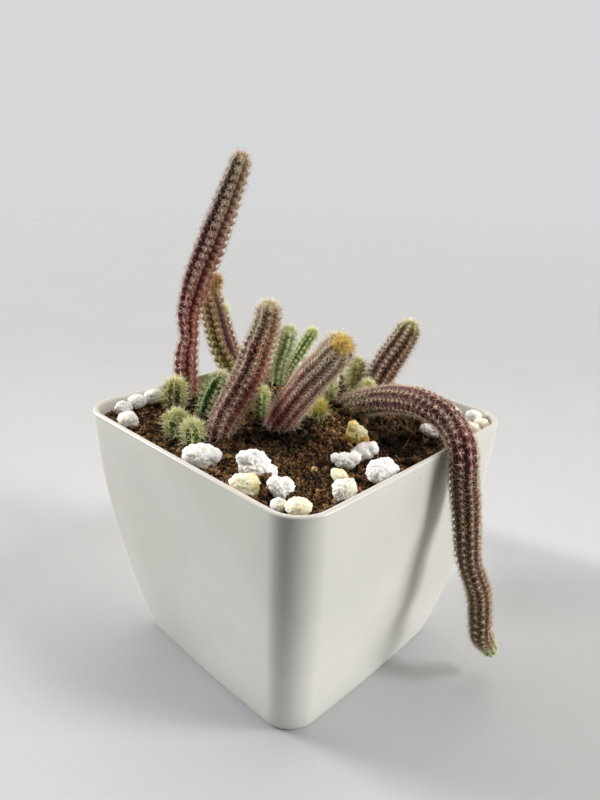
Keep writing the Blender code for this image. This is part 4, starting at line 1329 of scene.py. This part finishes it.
def stem_stations(line):
    """Distances and radii of a stem's rings: the buried shaft, the ribbed body and the rounded tip."""
    shaft = line.locate(line.buried)[1] * SHAFT_SHARE
    stations = []
    if line.buried:
        stations += [(0.0, shaft, 0.0), (line.start - SHAFT_RISE, shaft, 0.0)]
    steps = round((line.body_end - line.start) / ROW_HEIGHT)
    for step in range(steps + 1):
        distance = line.start + (line.body_end - line.start) * step / steps
        stations.append((distance, line.locate(distance)[1], 1.0))
    for angle in CAP_ANGLES:
        turn = math.radians(angle)
        distance = line.body_end + line.tip_radius * math.sin(turn)
        stations.append((distance, line.tip_radius * math.cos(turn), 1.0 - angle / 90.0))
    return stations


def knob_shape(line, distance, radius, ribs_in):
    """Height of a ring's points on their knobs, from 0 in the creases to 1, and distance to the areole."""
    rib_width = 2.0 * np.pi * radius / line.ribs
    steps = []
    for rib in (np.rint(ribs_in) + step for step in (-1, 0, 1)):
        phase = (distance - line.start) / line.pitch + line.stagger(rib)
        along = np.abs(phase - np.rint(phase)) * line.pitch
        across = (ribs_in - rib) * rib_width
        steps += [np.hypot(across, along), np.hypot(across, line.pitch - along)]
    first, second = np.sort(np.stack(steps), axis=0)[:2]
    return 1.0 - (first / second) ** 2, first


def stem_flesh_mesh(line):
    """Ribs and knobs raised on a tube round the line, with marks for the skin's colours."""
    stations = stem_stations(line)
    widest = max(radius for _, radius, _ in stations)
    columns = max(6, round(2.0 * math.pi * widest / line.ribs / COLUMN_WIDTH))
    around = line.ribs * columns
    angles = np.arange(around) * 2.0 * np.pi / around
    ribs_in = np.arange(around) / columns
    crest = 1.0 - np.abs(2.0 * (ribs_in - np.rint(ribs_in))) ** CREST_POWER
    rings = np.empty((len(stations), around, 3))
    marks = {name: np.empty((len(stations), around)) for name in ("along", "crest", "areole", "side")}
    for row, (distance, radius, relief) in enumerate(stations):
        place, _, tangent, side = line.locate(distance)
        other = tangent.cross(side)
        turned = angles + line.turn(distance)
        outward = np.outer(np.cos(turned), side) + np.outer(np.sin(turned), other)
        knob, reach = knob_shape(line, distance, max(radius, 0.5 * line.tip_radius), ribs_in)
        fall = VALLEY_DEPTH * (1.0 - crest) + KNOB_DEPTH * (1.0 - knob)
        rings[row] = np.array(place) + outward * (radius * (1.0 - relief * fall))[:, None]
        marks["along"][row] = distance / line.length
        marks["crest"][row] = 1.0 - (1.0 - knob) * relief
        marks["areole"][row] = np.exp(-(reach / AREOLE_SPOT) ** 2)
        marks["side"][row] = 0.5 + 0.5 * outward @ np.array(SCREEN_RIGHT)
    return wrap_grid(rings, marks)


def areole_stops(line):
    """Each areole of a stem as its rib, its distance along the line and its lift over the rounded tip."""
    stops = []
    for rib in range(line.ribs):
        shift = line.stagger(rib) % 1.0
        for row in range(line.rows + 1):
            stops.append((rib, line.start + (row - shift) * line.pitch, 0.0))
        for step, degrees in enumerate(DOME_STEPS):
            if degrees < DOME_THINNED or rib % 2 == step % 2:
                lift = math.radians(degrees)
                stops.append((rib, line.body_end + line.tip_radius * math.sin(lift), lift))
    return stops


def areoles(line):
    """Places, outward and forward directions of a stem's areoles, and their distance along it."""
    found = []
    for rib, distance, lift in areole_stops(line):
        place, radius, tangent, side = line.locate(distance)
        if lift:
            radius = line.tip_radius * math.cos(lift)
        angle = 2.0 * math.pi * rib / line.ribs + line.turn(distance)
        flat = side * math.cos(angle) + tangent.cross(side) * math.sin(angle)
        root = place + flat * radius
        if line.buried and root.z < soil_height(root.x, root.y) and abs(root.x) < POT_TOP_HALF:
            continue
        outward = flat * math.cos(lift) + tangent * math.sin(lift)
        forward = tangent * math.cos(lift) - flat * math.sin(lift)
        found.append((*root, *outward, *forward, distance))
    place, _, tangent, side = line.locate(line.length)
    found.append((*place, *tangent, *side, line.length))
    table = np.array(found)
    return table[:, 0:3], table[:, 3:6], table[:, 6:9], table[:, 9]


def clear_bristles(roots, ends):
    """Which bristles keep out of the pot's wall and the surface below."""
    reach = np.abs(ends[:, :2]).max(axis=1)
    half = np.array([pot_half_width(z) for z in ends[:, 2]])
    near_wall = (reach < half + BRISTLE_WALL_GAP) & (reach > half - POT_WALL - BRISTLE_WALL_GAP)
    through = (np.abs(roots[:, :2]).max(axis=1) > half) & (reach < half)
    below_rim = ends[:, 2] < POT_HEIGHT
    return ~(near_wall & below_rim) & ~(through & below_rim) & (ends[:, 2] > BRISTLE_FLOOR_GAP)


def bristle_hue(name, line, distances, outward):
    """Hue of the bristles at each areole: between the left and right side of the stem, from foot to tip."""
    stops = BRISTLE_HUES[name]
    shares = [stop[0] for stop in stops]
    left = np.interp(distances / line.length, shares, [stop[1] for stop in stops])
    right = np.interp(distances / line.length, shares, [stop[2] for stop in stops])
    side = np.clip(0.5 + BRISTLE_HUE_CONTRAST * outward @ np.array(SCREEN_RIGHT), 0.0, 1.0)
    return left + (right - left) * side


def bristle_growth(name, line, distances):
    """The share of its length that a bristle keeps near a bare tip, and its growth at a shaggy foot."""
    bare = np.clip(1.0 - (line.length - distances) / BARE_LENGTH, 0.0, 1.0) ** 0.5
    shaggy = np.clip(1.0 - (distances - line.buried) / SHAGGY_LENGTH, 0.0, 1.0) ** 0.5
    return 1.0 - bare * BARE_TIPS.get(name, 0.0), 1.0 + shaggy * SHAGGY_FEET.get(name, 0.0)


def bristles_mesh(name, line, seed, kinds):
    """All the bristles of a stem, with a pad of wool under each group of them."""
    rng = np.random.default_rng(seed)
    places, outward, forward, distances = areoles(line)
    across = np.cross(outward, forward)
    tip_hue, tuft = TIP_TUFTS[name]
    nearness = np.clip(1.0 - (line.length - distances) / tuft, 0.0, 1.0)
    kept, grown = bristle_growth(name, line, distances)
    hues = bristle_hue(name, line, distances, outward)
    hues += (tip_hue - hues) * np.minimum(1.0, 2.0 * nearness)
    tables = []
    for count, tilts, lengths, radius in kinds:
        for index in range(count):
            shift = rng.uniform(-BRISTLE_SCATTER, BRISTLE_SCATTER, len(places))
            turn = 2.0 * np.pi * (index + shift) / count
            tilt = np.radians(rng.uniform(*tilts, len(places)))
            sideways = forward * np.cos(turn)[:, None] + across * np.sin(turn)[:, None]
            direction = outward * np.cos(tilt)[:, None] + sideways * np.sin(tilt)[:, None]
            direction = unit(direction + forward * (BRISTLE_LEAN + BRISTLE_TIP_LEAN * nearness)[:, None])
            length = rng.uniform(*lengths, len(places)) * kept * grown
            thickness = radius * rng.uniform(*BRISTLE_WIDTHS, len(places))
            tables.append(np.column_stack([places, direction, length, hues, thickness]))
    tables.append(tip_tuft(line, tip_hue, rng, 1.0 - BARE_TIPS.get(name, 0.0)))
    spines = spines_mesh(np.concatenate(tables), rng)
    sizes = rng.uniform(*BRISTLE_WIDTHS, len(places)) * WOOL_SIZES.get(name, WOOL_SIZE) * kept
    return join_meshes(spines, wool_mesh(sizes[:, None], places, outward, forward, across, rng))


def spines_mesh(table, rng):
    """Bristles from a table of place, direction, length, hue and radius, without those that touch the pot."""
    table = table[clear_bristles(table[:, :3], table[:, :3] + table[:, 3:6] * table[:, 6:7])]
    count = len(table)
    lengths = table[:, 6]
    marks = {
        "tone": rng.uniform(0.0, 1.0, count),
        "hue": table[:, 7] + rng.normal(0.0, BRISTLE_HUE_SPREAD, count),
        "wool": np.zeros(count),
    }
    bends = rng.normal(0.0, BRISTLE_BEND, (count, 3)) * lengths[:, None]
    return needle_mesh(table[:, :3], table[:, 3:6], lengths, table[:, 8], bends, marks)


def tip_tuft(line, hue, rng, share):
    """Upright bristles over the growing point, shortened to a share."""
    place, _, tangent, side = (np.array(value) for value in line.locate(line.length))
    other = np.cross(tangent, side)
    angle = rng.uniform(0.0, 2.0 * np.pi, TUFT_COUNT)
    spread = np.sqrt(rng.uniform(0.0, 1.0, TUFT_COUNT))
    flat = np.outer(np.cos(angle), side) + np.outer(np.sin(angle), other)
    radius = TUFT_SHARE * line.tip_radius * spread
    depth = line.tip_radius - np.sqrt(line.tip_radius ** 2 - radius ** 2)
    roots = place + flat * radius[:, None] - tangent * depth[:, None]
    scatter_out = rng.normal(0.0, TUFT_SCATTER, (TUFT_COUNT, 3))
    directions = unit(tangent + flat * (TUFT_SPLAY * spread)[:, None] + scatter_out)
    lengths = rng.uniform(*TUFT_LENGTHS, TUFT_COUNT) * share
    same = np.ones(TUFT_COUNT)
    return np.column_stack([roots, directions, lengths, hue * same, TUFT_RADIUS * same])


def wool_mesh(sizes, places, outward, forward, across, rng):
    """A small woolly pad at each areole."""
    bm = bmesh.new()
    bmesh.ops.create_uvsphere(bm, u_segments=4, v_segments=2, radius=1.0)
    turns = np.stack([across * sizes, forward * sizes * WOOL_LENGTH, outward * sizes * WOOL_HEIGHT], axis=2)
    same = np.ones(len(places))
    tone = rng.uniform(0.2, 0.9, len(places))
    marks = {"tone": tone, "hue": 0.0 * same, "wool": WOOL_PALENESS * same, "reach": same}
    return scatter(bm, turns, places, marks)


def slimmed(route, share):
    """A route with its radii times the share, and its tip drawn down by what they lose."""
    return [(x, y, z - (1.0 - share) * radius, share * radius) for x, y, z, radius in route]


def offset_sides(name):
    """Colours of the two sides of an offset from foot to tip, laid out like those of the large stems."""
    left_foot, left_tip, right_foot, right_tip = OFFSET_COLOURS[name]
    sides = ((left_foot, left_tip), (right_foot, right_tip))
    return [((OFFSET_FOOT_SHARE, foot), (1.0, tip)) for foot, tip in sides]


def grow(name, lines, sides, kinds, seed, bristle_material):
    """One stem or offset: the flesh of its main line and its buds, and their bristles."""
    flesh = stem_flesh_mesh(lines[0])
    bristles = bristles_mesh(name, lines[0], seed, kinds)
    for index, bud in enumerate(lines[1:]):
        flesh = join_meshes(flesh, stem_flesh_mesh(bud))
        kind = name + ("_knob", "_bud")[index]
        bristles = join_meshes(bristles, bristles_mesh(kind, bud, seed + BUD_SEED + index, OFFSET_BRISTLES))
    add_piece(name + "_flesh", flesh, flesh_finish(name, sides), [name])
    add_piece(name + "_bristles", bristles, bristle_material)


# The stones.


def stone_reach(direction, block, balls):
    """How far a rough block with overlapping balls on it reaches from its middle in a direction."""
    reach = CORE_RADIUS
    if block:
        turned = block @ direction
        reach = BLOCK_REACH / sum(abs(value) ** BLOCK_POWER for value in turned) ** (1.0 / BLOCK_POWER)
    for centre, radius in balls:
        ahead = direction.dot(centre)
        square = radius * radius - centre.length_squared + ahead * ahead
        if square > 0.0:
            reach = max(reach, ahead + math.sqrt(square))
    return reach


def stone_form(name, chance):
    """The turn of a stone's block, if it has one, and the balls that stand out of it."""
    if name in STONE_FORMS:
        return None, [(Vector((x, 0.0, z)), radius) for x, z, radius in STONE_FORMS[name]]
    spin = Vector([chance.gauss(0.0, 1.0) for _ in range(3)]).normalized()
    balls = []
    for _ in range(LOBE_COUNT):
        aim = Vector([chance.gauss(0.0, 1.0) for _ in range(3)]).normalized()
        balls.append((aim * chance.uniform(*LOBE_OFFSETS), chance.uniform(*LOBE_RADII)))
    return Matrix.Rotation(chance.uniform(0.0, math.pi), 3, spin), balls


def stone_mesh(name, values, seed):
    """A rough porous pebble: a block with lobes grown on it, knuckles, lumps and pits."""
    x, y, z, *half_sizes, degrees, left_rust, right_rust = values
    block, balls = stone_form(name, random.Random(seed))
    bm = bmesh.new()
    detail = FAR_STONE_DETAIL if name.endswith(FAR_STONES) else STONE_DETAIL
    bmesh.ops.create_icosphere(bm, subdivisions=detail, radius=1.0)
    shift = STONE_SHIFT * seed
    for vertex in bm.verts:
        direction = vertex.co.normalized()
        bump = stone_reach(direction, block, balls)
        bump += KNUCKLE_HEIGHT * (abs(noise.noise(direction * KNUCKLE_BUMPS + shift)) - 0.25)
        bump += LUMP_HEIGHT * (abs(noise.noise(direction * LUMP_BUMPS + shift)) - 0.2)
        bump -= PIT_DEPTH * max(0.0, noise.noise(direction * PIT_BUMPS + shift))
        vertex.co = direction * bump
    for axis, half_size in enumerate(half_sizes):
        extent = sorted(abs(vertex.co[axis]) for vertex in bm.verts)
        reach = extent[int(STONE_WITHIN * len(extent))]
        for vertex in bm.verts:
            vertex.co[axis] *= half_size * MM / reach
    turn = Matrix.Rotation(math.radians(degrees), 3, "Z")
    middle = Vector((x, y, z)) * MM
    bmesh.ops.transform(bm, matrix=Matrix.Translation(middle) @ turn.to_4x4(), verts=bm.verts[:])
    rust = bm.verts.layers.float.new("rust")
    for vertex in bm.verts:
        right = 0.5 + 0.5 * (vertex.co - middle).dot(SCREEN_RIGHT) / (half_sizes[0] * MM)
        vertex[rust] = left_rust + (right_rust - left_rust) * max(0.0, min(1.0, right))
    return new_mesh("stone", bm)


# The add-on.


def colour_property(name, description, default):
    """A colour that a user can change."""
    return bpy.props.FloatVectorProperty(
        name=name, description=description, subtype="COLOR", size=3, min=0.0, max=1.0, default=default,
    )


def strength_property(name, description, default):
    """A light's strength that a user can change."""
    return bpy.props.FloatProperty(name=name, description=description, default=default, min=0.0)


class CactusLooks(bpy.types.PropertyGroup):
    """Colours that a user would change."""

    pot_colour: colour_property("Pot", "Colour of the pot's plastic", linear("dad8d0"))
    soil_colour: colour_property("Soil", "Darkest colour of the potting mix", linear("1a110b"))
    bristle_tan: colour_property("Old bristles", "Colour of the bristles on old growth", linear("cba272"))
    bristle_gold: colour_property("Young bristles", "Colour of the bristles on new growth", linear("faee80"))
    bristle_pale: colour_property(
        "Offset bristles", "Colour of the bristles on the offsets", linear("f3f2ba"),
    )
    bristle_white: colour_property("White bristles", "Colour of the whitest bristles", linear("f6e6d2"))
    bristle_orange: colour_property(
        "Tip bristles", "Colour of the bristles over a growing tip", linear("ffda88"),
    )
    white_stone: colour_property("White stones", "Colour of the white pumice", linear("fcfbf7"))
    ochre_stone: colour_property("Ochre stones", "Colour of the yellow pumice", linear("fcf4e2"))


class StudioLooks(bpy.types.PropertyGroup):
    """The camera, the lights and the floor."""

    lens: bpy.props.FloatProperty(
        name="Lens", description="Focal length of the camera on a 36 mm frame", default=CAMERA_LENS, min=10.0,
        unit="CAMERA",
    )
    key_strength: strength_property("Key light", "Strength of the light from above on the right", 0.95)
    right_strength: strength_property("Right light", "Strength of the broad light from the right", 2.05)
    left_strength: strength_property("Left light", "Strength of the broad light from the left", 3.85)
    top_strength: strength_property("Top light", "Strength of the broad light from above", 1.12)
    fill_strength: strength_property("Fill light", "Strength of the light from above and behind", 0.72)
    fill_colour: colour_property(
        "Fill colour", "Colour of the light that fills the shadows", (1.0, 0.905, 0.79),
    )
    floor_colour: colour_property("Floor", "Colour of the floor", linear("bfc1c4"))
    backdrop_colour: colour_property("Backdrop", "Colour of the backdrop", linear("d6d7d9"))


class CACTUS_OT_camera(bpy.types.Operator):
    """Place the camera where the photograph was taken from"""

    bl_idname = "cactus.camera"
    bl_label = "Place Camera"

    def execute(self, context):
        studio = context.scene.cactus_studio
        data = bpy.data.cameras.new("camera")
        data.lens = studio.lens
        data.sensor_width = CAMERA_FRAME
        data.clip_start, data.clip_end = CAMERA_REACH
        camera = bpy.data.objects.new("camera", data)
        context.scene.collection.objects.link(camera)
        flat = math.cos(CAMERA_ELEVATION)
        back = Vector((
            math.sin(CAMERA_AZIMUTH) * flat, -math.cos(CAMERA_AZIMUTH) * flat, math.sin(CAMERA_ELEVATION),
        ))
        level = Vector((0, 0, 1)).cross(back).normalized()
        upright = back.cross(level)
        right = level * math.cos(CAMERA_ROLL) + upright * math.sin(CAMERA_ROLL)
        up = upright * math.cos(CAMERA_ROLL) - level * math.sin(CAMERA_ROLL)
        turn = Matrix((right, up, back)).transposed()
        camera.matrix_world = Matrix.Translation(CAMERA_PLACE) @ turn.to_4x4()
        context.scene.camera = camera
        return {"FINISHED"}


class CACTUS_OT_pot(bpy.types.Operator):
    """Make the smooth plastic pot"""

    bl_idname = "cactus.pot"
    bl_label = "Make Pot"

    def execute(self, context):
        rings = np.array([[point[:] for point in pot_ring(z, inset)] for z, inset in pot_profile()])
        material = pot_finish(context.scene.cactus_looks.pot_colour)
        piece = add_piece("pot_shell", wrap_grid(rings, {}), material, ["pot"])
        cut_drains(piece)
        piece.data.shade_smooth()
        piece.data.set_sharp_from_angle(angle=SHARP_ANGLE)
        return {"FINISHED"}


class CACTUS_OT_soil(bpy.types.Operator):
    """Fill the pot with crumbly soil, bark and fibres"""

    bl_idname = "cactus.soil"
    bl_label = "Fill Soil"

    def execute(self, context):
        rng = np.random.default_rng(SOIL_SEED)
        noise.seed_set(SOIL_SEED)
        material = soil_finish(context.scene.cactus_looks.soil_colour)
        add_piece("soil_bed", soil_mesh(), material, ["soil"])
        crumbs = crumb_finish()
        for name, kind in LOOSE_SOIL.items():
            add_piece(name, crumbs_mesh(rng, *kind), crumbs)
        bark = bark_finish()
        add_piece("soil_bark", chips_mesh(rng), bark)
        add_piece("soil_fibres", fibres_mesh(rng), bark)
        return {"FINISHED"}


class CACTUS_OT_stems(bpy.types.Operator):
    """Grow the large stems with their bristles"""

    bl_idname = "cactus.stems"
    bl_label = "Grow Stems"

    def execute(self, context):
        bristles = bristle_finish(context.scene.cactus_looks)
        for seed, (name, route) in enumerate(STEM_ROUTES.items()):
            ribs, pitch = STEM_HABITS[name]
            lines = [Line(route, STEM_BURIED, ribs, pitch)]
            if name == "stem_back_left":
                for bud in (BACK_LEFT_KNOB, BACK_LEFT_BUD):
                    lines.append(Line(bud, 0.0, OFFSET_RIBS, OFFSET_PITCH))
            kinds = BRISTLE_KINDS.get(name, STEM_BRISTLES)
            grow(name, lines, FLESH_COLOURS[name], kinds, seed, bristles)
        return {"FINISHED"}


class CACTUS_OT_offsets(bpy.types.Operator):
    """Grow the young offsets with their golden bristles"""

    bl_idname = "cactus.offsets"
    bl_label = "Grow Offsets"

    def execute(self, context):
        bristles = bristle_finish(context.scene.cactus_looks)
        for seed, (name, route) in enumerate(OFFSET_ROUTES.items()):
            kinds, share = OFFSET_BRISTLES, FUZZY_FLESH_SHARE
            if name in SPARSE_OFFSETS:
                kinds, share = SPARSE_BRISTLES, SPARSE_FLESH_SHARE
            line = Line(slimmed(route, share), OFFSET_BURIED, OFFSET_RIBS, OFFSET_PITCH)
            grow(name, [line], offset_sides(name), kinds, OFFSET_SEED + seed, bristles)
        return {"FINISHED"}


class CACTUS_OT_stones(bpy.types.Operator):
    """Lay the pumice stones on the soil"""

    bl_idname = "cactus.stones"
    bl_label = "Lay Stones"

    def execute(self, context):
        looks = context.scene.cactus_looks
        white = stone_finish("white_pumice", looks.white_stone, "f8efdc")
        ochre = stone_finish("ochre_pumice", looks.ochre_stone, "fef2d2")
        for index, values in enumerate(WHITE_STONES):
            name = "stone_white_%02d" % (index + 1)
            add_piece(name + "_rough", stone_mesh(name, values, index + 1), white, [name])
        for index, values in enumerate(OCHRE_STONES):
            name = "stone_ochre_%02d" % (index + 1)
            seed = OCHRE_SEED + index + 1
            add_piece(name + "_rough", stone_mesh(name, values, seed), ochre, [name])
        return {"FINISHED"}


class CACTUS_OT_stage(bpy.types.Operator):
    """Set up the floor, the lights and the backdrop"""

    bl_idname = "cactus.stage"
    bl_label = "Set Stage"

    def execute(self, context):
        studio = context.scene.cactus_studio
        self.lay_floor(context, studio)
        for name, (spread, towards, colour) in LIGHTS.items():
            strength = getattr(studio, name + "_strength")
            self.hang_light(context, name + "_light", strength, spread, Vector(towards), colour)
        self.paint_world(context, studio)
        context.scene.view_settings.view_transform = "Standard"
        return {"FINISHED"}

    def lay_floor(self, context, studio):
        bm = bmesh.new()
        bmesh.ops.create_circle(bm, cap_ends=True, segments=FLOOR_SIDES, radius=FLOOR_RADIUS)
        floor = bpy.data.objects.new("floor", new_mesh("floor", bm))
        floor.data.materials.append(floor_finish(studio.floor_colour))
        context.scene.collection.objects.link(floor)

    def hang_light(self, context, name, strength, spread, towards, colour):
        data = bpy.data.lights.new(name, "SUN")
        data.energy = strength
        data.angle = math.radians(spread)
        data.color = colour
        light = bpy.data.objects.new(name, data)
        light.rotation_mode = "QUATERNION"
        light.rotation_quaternion = towards.to_track_quat("Z", "Y")
        light.location = towards
        context.scene.collection.objects.link(light)

    def paint_world(self, context, studio):
        """A pale backdrop to the camera, and to everything else a fill light that is dim in front."""
        world = bpy.data.worlds.new("studio")
        world.use_nodes = True
        nodes = Nodes(world.node_tree)
        direction = nodes.node("ShaderNodeTexCoord").outputs["Generated"]
        dimming = 1.0 - nodes.dot(direction, FRONT_DIRECTION).above(*FRONT_DIMMING)
        fill = world.node_tree.nodes["Background"]
        fill.inputs["Color"].default_value = opaque(studio.fill_colour)
        nodes.feed(fill.inputs["Strength"], dimming * studio.fill_strength)
        backdrop = nodes.node("ShaderNodeBackground", None, {"Color": opaque(studio.backdrop_colour)})
        seen = nodes.node("ShaderNodeLightPath").outputs["Is Camera Ray"]
        mix = nodes.node("ShaderNodeMixShader", None, {0: seen, 1: fill.outputs[0], 2: backdrop.outputs[0]})
        nodes.feed(world.node_tree.nodes["World Output"].inputs["Surface"], mix.outputs[0])
        context.scene.world = world


class CACTUS_PT_panel(bpy.types.Panel):
    bl_idname = "CACTUS_PT_panel"
    bl_label = "Potted Cactus"
    bl_space_type = "VIEW_3D"
    bl_region_type = "UI"
    bl_category = "Cactus"

    def draw(self, context):
        layout = self.layout
        for group in (context.scene.cactus_looks, context.scene.cactus_studio):
            for name in group.bl_rna.properties.keys():
                if name not in ("rna_type", "name"):
                    layout.prop(group, name)
        for operator in OPERATORS:
            layout.operator(operator.bl_idname)


OPERATORS = (
    CACTUS_OT_camera, CACTUS_OT_pot, CACTUS_OT_soil, CACTUS_OT_stems, CACTUS_OT_offsets, CACTUS_OT_stones,
    CACTUS_OT_stage,
)
CLASSES = (CactusLooks, StudioLooks) + OPERATORS + (CACTUS_PT_panel,)


def register():
    for item in CLASSES:
        bpy.utils.register_class(item)
    bpy.types.Scene.cactus_looks = bpy.props.PointerProperty(type=CactusLooks)
    bpy.types.Scene.cactus_studio = bpy.props.PointerProperty(type=StudioLooks)


def unregister():
    del bpy.types.Scene.cactus_studio
    del bpy.types.Scene.cactus_looks
    for item in reversed(CLASSES):
        bpy.utils.unregister_class(item)


def main():
    register()
    bpy.ops.cactus.camera()
    bpy.ops.cactus.pot()
    bpy.ops.cactus.soil()
    bpy.ops.cactus.stems()
    bpy.ops.cactus.offsets()
    bpy.ops.cactus.stones()
    bpy.ops.cactus.stage()


if __name__ == "__main__":
    main()
